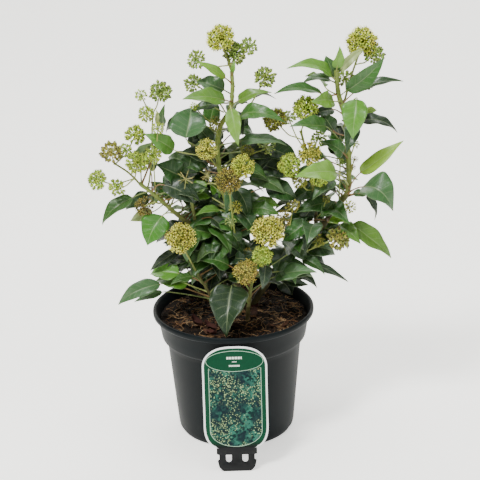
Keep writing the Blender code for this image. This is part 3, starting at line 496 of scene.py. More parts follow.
def picture_finish():
    """The label's panel: a generic pattern of massed teal foliage with pale round flower heads."""
    finish = Finish("label_picture", Roughness=0.45, Specular_IOR_Level=0.12)
    leaves = finish.cells(430, out=1)
    shade = finish.noise(70, 3)
    fine = finish.noise(620, 3, rough=0.6)
    clumps = finish.noise(38, 3)
    heads = finish.cells(520).step(0.42, 0.22) * clumps.step(0.38, 0.52)
    warm = finish.cells(240).step(0.34, 0.12) * clumps.step(0.60, 0.70)
    tone = finish.node("ShaderNodeSeparateColor", {}, {0: leaves})
    colour = finish.blend(tone.step(0.15, 0.9), linear((4, 34, 34)), linear((44, 100, 84)))
    colour = finish.blend(shade.step(0.58, 0.42) * 0.8, colour, linear((8, 24, 34)))
    colour = finish.blend(heads * fine.step(0.25, 0.5) * 0.9, colour, linear((164, 186, 128)))
    colour = finish.blend(warm * 0.8, colour, linear((190, 178, 110)))
    return finish.surface(Base_Color=colour)


# ---------------------------------------------------------------- mesh helpers

def place(point):
    """Table values in cm as a point in metres; a root point scales with the root depth."""
    x, y, z = point
    return np.array((x * CM, y * CM, MIX_TOP + (max(z, 0) * CM + min(z, 0) * ROOT_DEPTH / 3)))


def smooth_path(points, steps):
    """Points of a Catmull-Rom curve through the given points."""
    points = [np.asarray(point, float) for point in points]
    ends = [points[0] * 2 - points[1], *points, points[-1] * 2 - points[-2]]
    path = []
    for before, start, end, after in zip(ends, ends[1:], ends[2:], ends[3:]):
        for step in range(steps):
            t = step / steps
            path.append(0.5 * (2 * start + (end - before) * t
                               + (2 * before - 5 * start + 4 * end - after) * t ** 2
                               + (3 * start - before - 3 * end + after) * t ** 3))
    return np.array(path + [points[-1]])


def shoot_path(points):
    return smooth_path([place(point) for point in points], 6)


def at_height(path, height):
    """The point of a rising path at a height in metres."""
    for low, high in zip(path, path[1:]):
        if low[2] <= height <= high[2]:
            return low + (high - low) * (height - low[2]) / max(high[2] - low[2], 1e-9)
    return path[-1]


def unit(vector):
    return vector / max(np.linalg.norm(vector), 1e-9)


def along_path(path, shares):
    """Points and unit tangents at shares of a path's length."""
    steps = np.linalg.norm(np.diff(path, axis=0), axis=1)
    reached = np.concatenate([[0], np.cumsum(steps)]) / steps.sum()
    points = np.stack([np.interp(shares, reached, path[:, axis]) for axis in range(3)], axis=1)
    tangents = np.gradient(points, axis=0)
    return points, tangents / np.maximum(np.linalg.norm(tangents, axis=1, keepdims=True), 1e-9)


def only(*pieces):
    """Selects these pieces alone and makes the first one active."""
    bpy.ops.object.select_all(action="DESELECT")
    for piece in pieces:
        piece.select_set(True)
    bpy.context.view_layer.objects.active = pieces[0]
    return pieces[0]


def settled():
    """The object just added, with its place put into its mesh."""
    bpy.ops.object.transform_apply(location=True, rotation=True, scale=True)
    return bpy.context.object


def added(operator, **settings):
    """What a primitive's operator adds, with its place put into its mesh."""
    bpy.ops.object.select_all(action="DESELECT")
    operator(**settings)
    return settled()


def picked(piece, kind, test):
    """Goes into edit mode with only those edges or vertices selected that pass a test."""
    bpy.ops.object.mode_set(mode="EDIT")
    bpy.ops.mesh.select_all(action="DESELECT")
    shape = bmesh.from_edit_mesh(piece.data)
    for element in getattr(shape, kind):
        element.select_set(test(element))
    if kind == "verts":
        shape.select_flush(True)
    bmesh.update_edit_mesh(piece.data)


def removed(*models):
    for model in models:
        bpy.data.objects.remove(model, do_unlink=True)


def cut_by(piece, cutter):
    modified(piece, "BOOLEAN", object=cutter, operation="DIFFERENCE", solver="EXACT")
    removed(cutter)


def turned_out():
    """Turns every face outwards and leaves edit mode."""
    bpy.ops.mesh.select_all(action="SELECT")
    bpy.ops.mesh.normals_make_consistent(inside=False)
    bpy.ops.object.mode_set(mode="OBJECT")


def modified(piece, kind, **settings):
    only(piece)
    modifier = piece.modifiers.new(kind.lower(), kind)
    for name, value in settings.items():
        setattr(modifier, name, value)
    bpy.ops.object.modifier_apply(modifier=modifier.name)
    return piece


def copied(model):
    """A copy of a model piece, with its own mesh."""
    piece = model.copy()
    piece.data = model.data.copy()
    bpy.context.scene.collection.objects.link(piece)
    return piece


def joined(pieces, name):
    piece = only(*pieces)
    if len(pieces) > 1:
        bpy.ops.object.join()
    piece.name = piece.data.name = name
    return piece


def points_of(piece):
    points = np.empty(len(piece.data.vertices) * 3)
    piece.data.vertices.foreach_get("co", points)
    return points.reshape(-1, 3)


def move_points(piece, points):
    piece.data.vertices.foreach_set("co", np.ascontiguousarray(points, dtype=float).ravel())
    piece.data.update()
    return piece


def tints_of(piece):
    layer = piece.data.color_attributes["tint"]
    tints = np.empty(len(layer.data) * 4)
    layer.data.foreach_get("color", tints)
    return tints.reshape(-1, 4)


def tinted(piece, colour):
    """Gives every point of a piece its colour: one for all, or a row for each point."""
    layer = piece.data.color_attributes.get("tint")
    if layer is None:
        layer = piece.data.color_attributes.new(name="tint", type="FLOAT_COLOR", domain="POINT")
    tints = np.ones((len(piece.data.vertices), 4))
    tints[:, :3] = colour
    layer.data.foreach_set("color", tints.ravel())
    return piece


def skinned(piece, *skins):
    piece.data.materials.clear()
    for skin in skins:
        piece.data.materials.append(skin)
    return piece


def smoothed(piece, degrees=180):
    only(piece)
    if degrees >= 180:
        bpy.ops.object.shade_smooth()
    else:
        bpy.ops.object.shade_smooth_by_angle(angle=math.radians(degrees))
    return piece


def done(piece, slot, *nodes):
    """Hangs a finished piece on the frame, in the place of the CAD nodes it stands for."""
    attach(piece, "root")
    if nodes:
        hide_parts(*nodes)
    return piece


def make_rod(sides, rings):
    """A closed rod of radius 1 from z 0 to 1, with rings along it: the model for every stem and stalk."""
    rod = added(bpy.ops.mesh.primitive_cylinder_add, vertices=sides, radius=1, depth=1,
                location=(0, 0, 0.5), end_fill_type="TRIFAN")
    picked(rod, "edges", lambda edge: abs(edge.verts[0].co.z - edge.verts[1].co.z) > 0.5)
    bpy.ops.mesh.subdivide(number_cuts=rings)
    bpy.ops.object.mode_set(mode="OBJECT")
    return smoothed(rod, 60)


def lay_rod(rod, path, radius):
    """A copy of the rod along a path. The radius is a function of the share of the way along it."""
    piece = copied(rod)
    points = points_of(piece)
    levels, index = np.unique(np.round(points[:, 2], 5), return_inverse=True)
    centres, tangents = along_path(np.asarray(path), levels)
    side = np.cross(tangents, (0.31, 0.95, 0.02))
    side /= np.maximum(np.linalg.norm(side, axis=1, keepdims=True), 1e-9)
    front = np.cross(tangents, side)
    wide = np.array([radius(level) for level in levels])[index, None]
    return move_points(piece, centres[index] + wide * (side[index] * points[:, :1]
                                                       + front[index] * points[:, 1:2]))


def raised(name, profile, steps):
    """A turned body: a circle's rim extruded and resized ring by ring, and closed at its last ring."""
    radius, height = profile[0]
    body = added(bpy.ops.mesh.primitive_circle_add, vertices=steps, radius=radius,
                 location=(0, 0, height), fill_type="TRIFAN")
    picked(body, "edges", lambda edge: edge.is_boundary)
    for next_radius, next_height in profile[1:]:
        bpy.ops.mesh.extrude_region_move()
        ratio = next_radius / radius
        bpy.ops.transform.resize(value=(ratio, ratio, 1), center_override=(0, 0, height))
        bpy.ops.transform.translate(value=(0, 0, next_height - height))
        radius, height = next_radius, next_height
    bpy.ops.mesh.merge(type="CENTER")
    bpy.ops.mesh.select_all(action="SELECT")
    bpy.ops.mesh.remove_doubles(threshold=1e-6)
    turned_out()
    body.name = body.data.name = name
    return body


# ---------------------------------------------------------------- leaves

SPIRAL = math.pi * (3 - math.sqrt(5))
BLADE_ROWS = 22
BLADE_COLUMNS = 10
BLADE_THICKNESS = 0.00045
PETIOLE_RADIUS = 0.00085


def blade_share(t):
    """Half-width of a blade at a share of its length, as a share of its greatest."""
    return t ** 0.5 * (1 - t) ** 1.05 / 0.3775


def make_blade():
    """The flat model blade: a grid whose rows are resized to the leaf's outline."""
    bpy.ops.object.select_all(action="DESELECT")
    bpy.ops.mesh.primitive_grid_add(x_subdivisions=BLADE_COLUMNS, y_subdivisions=BLADE_ROWS, size=2,
                                    location=(0, 1, 0), calc_uvs=True)
    bpy.context.object.scale = (1, 0.5, 1)
    bpy.context.object.location = (0, 0.5, 0)
    blade = settled()
    for row in range(BLADE_ROWS + 1):
        level = row / BLADE_ROWS
        picked(blade, "verts", lambda vert: abs(vert.co.y - level) < 0.2 / BLADE_ROWS)
        share = max(blade_share(level), 0.035 if row == 0 else 0.012)
        bpy.ops.transform.resize(value=(share, 1, 1), center_override=(0, level, 0))
    bpy.ops.object.mode_set(mode="OBJECT")
    return smoothed(blade)


def blade_frame(base, tip, facing):
    chord = tip - base
    along = unit(chord)
    up = np.asarray(facing, float)
    up = unit(up - along * up.dot(along))
    return chord, up, np.cross(along, up)


def lay_blade(blade, row, seed):
    """A copy of the blade from its base to its tip, folded, arched, waved and twisted."""
    _height, base, tip, width, facing, arch, tone = row
    draw = random.Random(seed)
    base, tip = place(base), place(tip)
    chord, up, side = blade_frame(base, tip, facing)
    piece = copied(blade)
    points = points_of(piece)
    x, t = points[:, :1], points[:, 1:2]
    half = width * CM / 2
    lean = draw.choice((-1, 1)) * draw.uniform(0.82, 1.15)
    t = t ** (1 + 0.12 * draw.uniform(-1, 1))
    turn = draw.uniform(-0.75, 0.75) * (t - 0.25)
    across = side * np.cos(turn) + up * np.sin(turn)
    over = up * np.cos(turn) - side * np.sin(turn)
    fold = draw.uniform(0.30, 0.66)
    lift = fold * np.abs(x) - 0.22 * x ** 2
    waves = draw.uniform(1.6, 2.6)
    phase = np.where(x > 0, lean * 2, draw.random() * 6)
    ripple = 0.15 * np.abs(x) ** 1.5 * np.sin(math.tau * waves * t + phase)
    quilt = 0.028 * np.sin((t - np.abs(x) * VEIN_SLANT) * VEIN_PITCH) * np.abs(x) * (1 - np.abs(x))
    sway = draw.uniform(-0.05, 0.05) * np.linalg.norm(chord) * 4 * t * (1 - t)
    curl = draw.uniform(0.02, 0.18) * np.linalg.norm(chord) * np.maximum(t - 0.55, 0) ** 2 * 5
    bow = arch * CM * 4 * t * (1 - t)
    middle = base + chord * t + up * bow + side * sway - up * curl
    move_points(piece, middle + across * (half * x) + over * (half * (lift + ripple + quilt)))
    shade = np.array(linear(TONES[tone])) * draw.uniform(0.82, 1.2)
    shade = shade * np.array((draw.uniform(0.86, 1.16), 1, draw.uniform(0.8, 1.2)))
    return tinted(piece, shade * (1 + 0.16 * (t - 0.5)))


def blade_stalk(rod, path, row, stem_radius, seed):
    """The petiole from the shoot to the blade, running on under it as the raised midrib."""
    height, base, tip, _width, facing, arch, tone = row
    draw = random.Random(seed + 7)
    base, tip = place(base), place(tip)
    chord, up, _side = blade_frame(base, tip, facing)
    start = at_height(path, MIX_TOP + height * CM)
    knee = base - (chord * 0.3 + up * arch * CM) * 0.6
    start = start + unit(knee - start) * stem_radius * 0.5
    petiole = [start * (1 - t) ** 2 + knee * 2 * t * (1 - t) + base * t ** 2 for t in np.linspace(0, 1, 9)]
    rib = [base + chord * t + up * (arch * CM * 4 * t * (1 - t) - 0.0004) for t in (0.06, 0.14, 0.24)]
    stalk = lay_rod(rod, petiole + rib, lambda share: PETIOLE_RADIUS * (
        1.35 - 0.5 * min(share * 3, 1)) * (1 - 0.7 * max(share - 0.7, 0) / 0.3))
    young = tone in YOUNG
    colour = (150, 160, 88) if young else (104, 118, 62)
    if draw.random() < 0.3:
        colour = (122, 96, 58)
    return tinted(stalk, linear(colour))


def make_leaf(name, blade, rod, path, row, stem_radius, seed, skins):
    upper, under, stalk_skin = skins
    leaf = skinned(lay_blade(blade, row, seed), upper, under)
    modified(leaf, "SOLIDIFY", thickness=BLADE_THICKNESS, offset=-1, material_offset=1,
             material_offset_rim=1)
    stalk = skinned(blade_stalk(rod, path, row, stem_radius, seed), stalk_skin)
    return joined([leaf, stalk], name)


FILLERS = {
    # lowest and highest foot and how many leaves are tried, for each shoot
    "tall": (7.0, 24.0, 130), "left": (5.0, 15.5, 170), "right": (3.0, 22.0, 120), "back": (3.0, 14.5, 110),
    "front": (2.0, 5.6, 14), "low_left": (1.5, 6.0, 24),
}
FILLER_TONES = ("deep", "deep", "dark", "dark", "mid", "mid", "fresh", "sheen_grey")
GAPS = (
    # places seen through the foliage from the front: X, Z above the mix and radius in cm
    (-5.0, 14.8, 0.35), (-3.0, 16.0, 0.3), (1.6, 14.1, 0.4), (3.7, 14.0, 0.35), (-0.2, 20.2, 0.5),
    (2.6, 22.6, 1.2), (10.0, 11.3, 0.5), (4.6, 25.6, 2.6), (8.2, 27.6, 1.6), (-6.0, 26.6, 1.9),
    (16.8, 24.6, 1.2), (16.4, 9.6, 2.0), (-11.6, 9.4, 2.6), (-9.8, 7.2, 1.6), (12.6, 3.6, 1.6),
)


def seen(point):
    """Where a point in cm above the mix is seen from the front, next to points at depth 0."""
    x, y, z = point
    return x * (1 + 0.0065 * y), z + y * (60 - z) / 136


def clear_of_views(base, tip):
    """Whether a leaf leaves the gaps free and stands in front of no umbel or blade."""
    for share in (0.0, 0.35, 0.7, 1.0):
        point = base + (tip - base) * share
        x, z = seen(point)
        if any(math.hypot(x - gap_x, z - gap_z) < radius for gap_x, gap_z, radius in GAPS):
            return False
        for middle, behind, radius in SHOWN_PLACES:
            shown_x, shown_z = seen(middle)
            if point[1] < middle[1] + behind and math.hypot(x - shown_x, z - shown_z) < radius:
                return False
    return True


# Centres of the blades and umbels, how far behind them a filler may start and the radius kept clear.
SHOWN_PLACES = [((np.array(row[1]) + row[2]) / 2, 0.6, 0.2 * math.dist(row[1], row[2]) + 0.2 * row[3])
                for rows in LEAVES.values() for row in rows]


def filler_rows(shoot, path):
    """Leaves set round a shoot in a spiral, for the thick of the foliage and its back."""
    low, high, count = FILLERS[shoot]
    draw = random.Random(hash_of(shoot) + 3)
    rows = []
    for index in range(count):
        height = low + (high - low) * (index + draw.random()) / count
        foot = (at_height(path, MIX_TOP + height * CM) - np.array((0, 0, MIX_TOP))) / CM
        angle = index * SPIRAL + draw.uniform(-0.4, 0.4)
        way = np.array((math.cos(angle), 0.9 * math.sin(angle) + 0.25, 0))
        reach, length = draw.uniform(1.3, 3.0), draw.uniform(2.8, 4.3)
        droop = draw.uniform(-0.35, 0.75)
        base = foot + way * reach + np.array((0, 0, draw.uniform(0.2, 1.5)))
        sweep = np.array((draw.uniform(-0.4, 0.4), draw.uniform(-0.3, 0.3), -math.tan(droop)))
        tip = base + unit(way + sweep) * length
        x, z = seen((base + tip) / 2)
        inside = -8.8 < x < 13.4 and 3.4 < z < 22.6 and -3.4 < tip[1] < 8.2 and tip[2] > 1.2
        if shoot == "right" and z > 21.5 or not inside or not clear_of_views(base, tip):
            continue
        facing = (way[0] * 0.35, way[1] * 0.3 + (0.8 if tip[1] > 4 else -0.75), 1)
        rows.append((height, tuple(base), tuple(tip), length * draw.uniform(0.5, 0.68), facing,
                     draw.uniform(0.25, 0.8), draw.choice(FILLER_TONES)))
    return rows


def make_leaves(skins, paths):
    blade = make_blade()
    rod = make_rod(6, 10)
    for shoot, rows in LEAVES.items():
        for index, row in enumerate(rows, 1):
            node = f"leaf_{shoot}_{index:02d}"
            leaf = make_leaf("blade" + node[4:], blade, rod, paths[shoot], row, SHOOTS[shoot][2] * CM,
                             hash_of(node), skins)
            done(leaf, "leaf_young" if row[-1] in YOUNG else "leaf_old", node)
    for shoot, rows in MORE_LEAVES.items():
        leaves = [make_leaf("blade", blade, rod, paths[shoot], row, SHOOTS[shoot][2] * CM,
                            hash_of(f"{shoot} inner {index}"), skins)
                  for index, row in enumerate([*rows, *filler_rows(shoot, paths[shoot])])]
        done(joined(leaves, "inner_leaves_" + shoot), "leaf_old")
    removed(blade, rod)


def hash_of(words):
    """A seed from a name, the same in every run."""
    return sum(ord(letter) * 31 ** (place_ % 5) for place_, letter in enumerate(words))


# ---------------------------------------------------------------- umbels

BARE_CONE = 0.86               # florets stay off the side where the stalk comes in
STALK_RADIUS = 0.0008
FLORET_STALK = 0.030           # sizes of a floret in an umbel of radius 1
BUD_CENTRE = 0.87
DISC_SHARE = 0.56              # of the bud's radius
ANTHER = (0.17, 0.16, 0.040, 0.0)   # distance from the axis, height over the bud's centre, size, turn
PETAL = (0.12, 0.02, 0.036, 0.6)
BARE_FLORETS = 16              # in an umbel that has shed its flowers

MORE_UMBELS = [
    # foot of the stalk, centre, radius and kind, in cm
    ((-0.4, 0.9, 23.4), (-2.4, 0.5, 25.4), 0.50, "lime"),
    ((-0.9, 1.0, 22.0), (-3.6, 0.3, 24.3), 0.45, "lime"),
    ((-1.1, 0.9, 20.6), (-1.3, -0.5, 22.6), 0.80, "olive"),
    ((8.4, 1.0, 19.0), (6.7, 2.0, 22.3), 0.80, "green"),
    ((9.2, 0.9, 14.6), (9.8, -1.5, 16.5), 1.05, "lime"),
    ((9.2, 0.9, 14.2), (7.7, -2.0, 16.2), 0.90, "olive"),
    ((13.2, 0.8, 17.6), (13.9, 0.5, 19.5), 0.50, "green"),
    ((13.2, 0.8, 16.0), (13.9, 0.4, 17.8), 0.40, "umber"),
    ((13.2, 0.8, 15.4), (13.7, 0.3, 16.9), 0.35, "umber"),
    ((12.0, 1.1, 11.8), (13.2, -0.5, 12.5), 0.85, "gold"),
    ((5.6, 2.0, 4.9), (7.0, 0.0, 12.6), 0.90, "berry"),
    ((9.6, 1.5, 10.6), (10.7, -1.0, 13.7), 0.50, "olive"),
    ((12.2, 1.0, 12.4), (12.3, 0.3, 17.5), 0.50, "green"),
    ((-8.2, -0.9, 14.8), (-8.2, -1.5, 19.5), 0.95, "lime"),
    ((-8.4, -1.0, 17.5), (-7.5, -2.0, 22.6), 0.70, "lime"),
    ((-1.6, 0.9, 16.0), (-2.4, -2.4, 17.3), 1.00, "bare"),
    ((-4.7, -1.2, 15.4), (-4.8, -1.4, 16.6), 1.20, "bare"),
    ((2.4, -2.9, 5.6), (1.8, -2.2, 8.2), 0.45, "umber"),
    ((0.3, -0.4, 9.0), (0.0, -2.0, 11.8), 0.65, "pale"),
]
SHOWN_PLACES += [(np.array(umbel[:3]), umbel[3] * 0.4, umbel[3] + 0.25)
                 for _points, _radius, umbels in FLOWERS.values() for umbel in umbels]
SHOWN_PLACES += [(np.array(centre), radius * 0.4, radius + 0.25)
                 for _foot, centre, radius, _kind in MORE_UMBELS]


def make_floret(kind):
    """One floret of an umbel of radius 1: its stalk, a domed ovary with a dark disc, petals and anthers."""
    _density, bud_radius, stalk, ovary, disc, anther = KINDS[kind]
    disc_radius = bud_radius * DISC_SHARE
    stem = added(bpy.ops.mesh.primitive_cylinder_add, vertices=3, radius=FLORET_STALK, depth=BUD_CENTRE,
                 location=(0, 0, BUD_CENTRE / 2), end_fill_type="NGON")
    parts = [tinted(stem, linear(stalk))]
    bud = added(bpy.ops.mesh.primitive_uv_sphere_add, segments=6, ring_count=4, radius=bud_radius,
                location=(0, 0, BUD_CENTRE))
    picked(bud, "verts", lambda vert: vert.co.z < BUD_CENTRE - 0.3 * bud_radius)
    bpy.ops.transform.resize(value=(0.6, 0.6, 1.25), center_override=(0, 0, BUD_CENTRE))
    bpy.ops.object.mode_set(mode="OBJECT")
    parts.append(tinted(bud, linear(ovary)))
    if kind != "bare":
        cap = added(bpy.ops.mesh.primitive_cone_add, vertices=5, radius1=disc_radius,
                    radius2=disc_radius * 0.5, depth=disc_radius, location=(0, 0, BUD_CENTRE + bud_radius))
        parts.append(tinted(cap, linear(disc)))
    if anther:
        for index in range(5):
            angle = math.tau * index / 5
            for (radius, height, size, turn), colour in ((ANTHER, anther), (PETAL, ovary)):
                tip = added(bpy.ops.mesh.primitive_cone_add, vertices=3, radius1=size, radius2=0,
                            depth=size * 1.6,
                            location=(radius * math.cos(angle + turn), radius * math.sin(angle + turn),
                                      BUD_CENTRE + height),
                            rotation=(math.sin(angle) * 1.2, math.cos(angle) * 1.2, angle))
                parts.append(tinted(tip, linear(colour)))
    return joined(parts, "floret_" + kind)


def directions(count, draw):
    """Evenly spread directions over a ball, each a little off its place."""
    for index in range(count):
        height = 1 - 2 * (index + 0.5) / count
        ring = math.sqrt(1 - height ** 2)
        angle = index * SPIRAL
        jitter = Vector([draw.gauss(0, 0.75 / math.sqrt(count)) for _axis in range(3)])
        yield (Vector((ring * math.cos(angle), ring * math.sin(angle), height)) + jitter).normalized()


def make_umbel(florets, centre, radius, kind, stalk_end, seed):
    """The florets of one umbel, turned out from its centre."""
    draw = random.Random(seed)
    centre = Vector(centre)
    incoming = (Vector(stalk_end) - centre).normalized()
    area = 4 * math.pi * (radius / CM) ** 2
    count = BARE_FLORETS if kind == "bare" else round(max(KINDS[kind][0] * area, 26) + 8)
    pieces = []
    for way in directions(count, draw):
        if way.dot(incoming) > BARE_CONE:
            continue
        piece = copied(florets[kind])
        size = radius * SWELL.get(kind, 1) * draw.uniform(0.80, 1.06)
        turn = way.to_track_quat("Z", "Y").to_matrix().to_4x4()
        spin = Matrix.Rotation(draw.random() * math.tau, 4, "Z")
        piece.data.transform(Matrix.Translation(centre) @ turn @ spin @ Matrix.Scale(size, 4))
        tints = tints_of(piece)[:, :3] * draw.uniform(0.6, 1.25)
        tints[:, 0] *= draw.uniform(0.86, 1.1)
        pieces.append(tinted(piece, tints))
    return pieces


def branch_path(stalk, centre, radius):
    """A stalk's side branch, which leaves it below the umbel and curves up into it."""
    reach = math.hypot(centre[0] - stalk[-1][0], centre[1] - stalk[-1][1])
    height = min(max(centre[2] - max(radius, 0.8 * reach), stalk[0][2] + 0.002), stalk[-1][2] - 0.001)
    start = at_height(stalk, height)
    bend = start + (centre - start) * 0.55 - np.array((0, 0, 0.15 * np.linalg.norm(centre - start)))
    return smooth_path([start, start + (bend - start) * 0.5, bend, centre], 4)


def knobbed(radius, end_share=0.9):
    """A stalk's radius along it: slimmer upwards, with a knob at its end."""
    return lambda share: radius * (1 + (end_share - 1) * share + 0.5 * max(share - 0.93, 0) / 0.07)


def rooted(stalk, shoots):
    """A cluster's stalk, led in from the nearest shoot below its foot."""
    foot = stalk[0]
    reach, root = min(((np.linalg.norm(point - foot) + 2 * max(point[2] - foot[2] + 0.003, 0), tuple(point))
                       for path in shoots for point in path), key=lambda found: found[0])
    if reach > 0.05:
        return stalk
    root = np.array(root)
    knee = (root + foot) / 2 - np.array((0, 0, 0.1 * reach))
    return np.array([root, knee, *stalk])


def make_flowers(skin, shoots):
    florets = {kind: make_floret(kind) for kind in KINDS}
    rod = make_rod(8, 16)
    for name, (points, stalk_radius, umbels) in FLOWERS.items():
        stalk = shoot_path(points)
        green = linear((128, 138, 66)) if stalk_radius < 0.12 else linear((104, 112, 54))
        led = smooth_path(rooted(stalk, shoots), 2)
        pieces = [tinted(lay_rod(rod, led, knobbed(stalk_radius * CM)), green)]
        for index, (x, y, z, radius, kind) in enumerate(umbels):
            centre, radius = place((x, y, z)), radius * CM
            entry = stalk[-2]
            if np.linalg.norm(centre - stalk[-1]) > radius * 0.9:
                branch = branch_path(stalk, centre, radius)
                pieces.append(tinted(lay_rod(rod, branch, knobbed(STALK_RADIUS)), linear((142, 152, 78))))
                entry = branch[-2]
            else:
                pieces.append(tinted(lay_rod(rod, [stalk[-1], (stalk[-1] + centre) / 2, centre],
                                             knobbed(STALK_RADIUS)), green))
            pieces += make_umbel(florets, centre, radius, kind, entry, hash_of(f"{name} {index}"))
        done(smoothed(skinned(joined(pieces, "umbels_" + name), skin), 50), "umbel", "flowers_" + name)
    pieces = []
    for index, (foot, centre, radius, kind) in enumerate(MORE_UMBELS):
        foot, centre, radius = place(foot), place(centre), radius * CM
        bend = foot + (centre - foot) * 0.5 + np.array((0, 0, -0.12 * np.linalg.norm(centre - foot)))
        path = smooth_path([foot, bend, centre], 5)
        pieces.append(tinted(lay_rod(rod, path, knobbed(STALK_RADIUS)), linear((136, 146, 74))))
        pieces += make_umbel(florets, centre, radius, kind, path[-2], hash_of(f"more {index}"))
    done(smoothed(skinned(joined(pieces, "umbels_inner"), skin), 50), "umbel")
    removed(rod, *florets.values())


# ---------------------------------------------------------------- stems

BARK = (78, 72, 40)
GREEN_BARK = (118, 134, 60)
NODE_SPACING = 0.021
SCAR_RADIUS = 0.0011       # scars of shed leaves
SCAR_COLOUR = (92, 84, 46)


def stem_radius(low, high, seed):
    """A stem's radius along it: tapered, swollen at its nodes and slightly uneven."""
    draw = random.Random(seed)
    phase = draw.random()
    return lambda share: (low + (high - low) * share) * CM * (
        1 + 0.16 * max(math.cos(math.tau * (share * 11 + phase)), 0) ** 6
        + 0.04 * math.sin(share * 57 + phase * 9))


def make_stem(rod, name, points, low, high, skin):
    path = shoot_path(points)
    stem = lay_rod(rod, path, stem_radius(low, high, hash_of(name)))
    at = points_of(stem)
    draw = random.Random(hash_of(name) + 1)
    knots = np.array([[draw.uniform(-1, 1) for _axis in range(3)] for _knot in range(6)])
    wobble = sum(np.sin(at @ (knot * 900) + index) for index, knot in enumerate(knots))
    move_points(stem, at + 0.00010 * wobble[:, None] * np.array((1, 1, 0)))
    shoot = name.split("_side")[0]
    height = (at[:, 2:] - MIX_TOP) / CM
    share = np.clip((height - GREEN_FROM[shoot] + 2) / 6, 0, 1)
    colour = np.array(linear(BARK)) * (1 - share) + np.array(linear(GREEN_BARK)) * share
    return skinned(tinted(stem, colour), skin)


def make_stems(skin):
    rod = make_rod(14, 90)
    scar_rod = make_rod(6, 2)
    paths = {}
    for name, (points, low, high) in SHOOTS.items():
        paths[name] = shoot_path(points)
        pieces = [make_stem(rod, name, points, low, high, skin)]
        for index, (side_points, side_low, side_high) in enumerate(SIDE_SHOOTS.get(name, ())):
            pieces.append(make_stem(rod, f"{name}_side{index}", side_points, side_low, side_high, skin))
        draw = random.Random(hash_of(name) + 2)
        for height in np.arange(0.03, paths[name][-1][2] - MIX_TOP, NODE_SPACING):
            point = at_height(paths[name], MIX_TOP + height)
            angle = draw.random() * math.tau
            way = np.array((math.cos(angle), math.sin(angle), 0.55))
            scar = lay_rod(scar_rod, [point + way * (low * share * CM) for share in (0, 0.5, 1.05)],
                           lambda share: SCAR_RADIUS * (1 - 0.25 * share))
            pieces.append(skinned(tinted(scar, linear(SCAR_COLOUR)), skin))
        done(smoothed(joined(pieces, "shoot_" + name), 60), "stem_bark", "stem_" + name)
    removed(rod, scar_rod)
    return paths


def all_shoots(paths):
    sides = [shoot_path(points) for rows in SIDE_SHOOTS.values() for points, _low, _high in rows]
    return [*paths.values(), *sides]


# ---------------------------------------------------------------- pot and mix

POT_STEPS = 128
DRAINS = 8
DRAIN_RING = 0.0665                  # radius of the ring that the drain notches stand on
DRAIN_SIZE = (0.012, 0.0105, 0.0068)
MODELLED_RIM = 0.0924                # rim radius that the pot's profile is written for


def make_pot(skin):
    """The pot's wall in one run from the middle of its foot over the rolled lip to its floor inside."""
    top = POT_HEIGHT
    outer = [(0.010, 0.0026), (0.030, 0.0024), (0.058, 0.0022), (0.0605, 0.0004), (0.0640, 0.0),
             (0.0658, 0.0006), (0.0672, 0.0030), (0.0678, 0.0060), (0.0700, 0.030), (0.0722, 0.055),
             (0.0744, 0.080), (0.0768, 0.1060), (0.0775, 0.1110), (0.0786, 0.1128), (0.0812, 0.1142),
             (0.0826, 0.1152), (0.0832, 0.1172), (0.0846, 0.1260), (0.0862, 0.1370), (0.0872, 0.1398),
             (0.0890, 0.1408), (0.0912, 0.1416), (0.0922, 0.1428), (0.0924, 0.1450), (0.0921, 0.1470),
             (0.0912, top - 0.0001), (0.0902, top)]
    inner = [(0.0892, top - 0.0004), (0.0884, top - 0.0016), (0.0876, top - 0.0040), (0.0854, 0.1390),
             (0.0832, 0.1260), (0.0816, 0.1170), (0.0764, 0.1120), (0.0750, 0.1050), (0.0690, 0.040),
             (0.0655, 0.0060), (0.030, 0.0052), (0.004, 0.0052)]
    scale = RIM_RADIUS / MODELLED_RIM
    pot = raised("nursery_pot", [(r * scale, z) for r, z in outer + inner], POT_STEPS)
    cutters = []
    for index in range(DRAINS):
        angle = math.radians(90) + (index + 0.5) * math.tau / DRAINS
        bpy.ops.object.select_all(action="DESELECT")
        bpy.ops.mesh.primitive_cube_add(
            size=1, location=(DRAIN_RING * math.cos(angle), DRAIN_RING * math.sin(angle), 0))
        cutter = bpy.context.object
        cutter.scale = DRAIN_SIZE
        cutter.rotation_euler.z = angle
        cutter = settled()
        modified(cutter, "BEVEL", width=0.0016, segments=3)
        cutters.append(cutter)
    cut_by(pot, joined(cutters, "drain_cutter"))
    done(smoothed(skinned(pot, skin), 38), "pot_plastic", "pot")


MIX_RADIUS = 0.0844
MIX_CELLS = 100
MIX_BOTTOM = 0.118        # the looks need no mix deeper than this
MIX_SURFACE = 0.125       # what lies above this is lumpy


def mix_height(x, y):
    """Height of the mix at a place: domed, with soft hollows."""
    share = np.hypot(x, y) / MIX_RADIUS
    return (MIX_TOP - 0.0030 * share ** 2 + 0.0012 * np.sin(x * 95 + 1) * np.sin(y * 88)
            + 0.0006 * np.sin(x * 240) * np.cos(y * 260 + 2) - 0.0006)


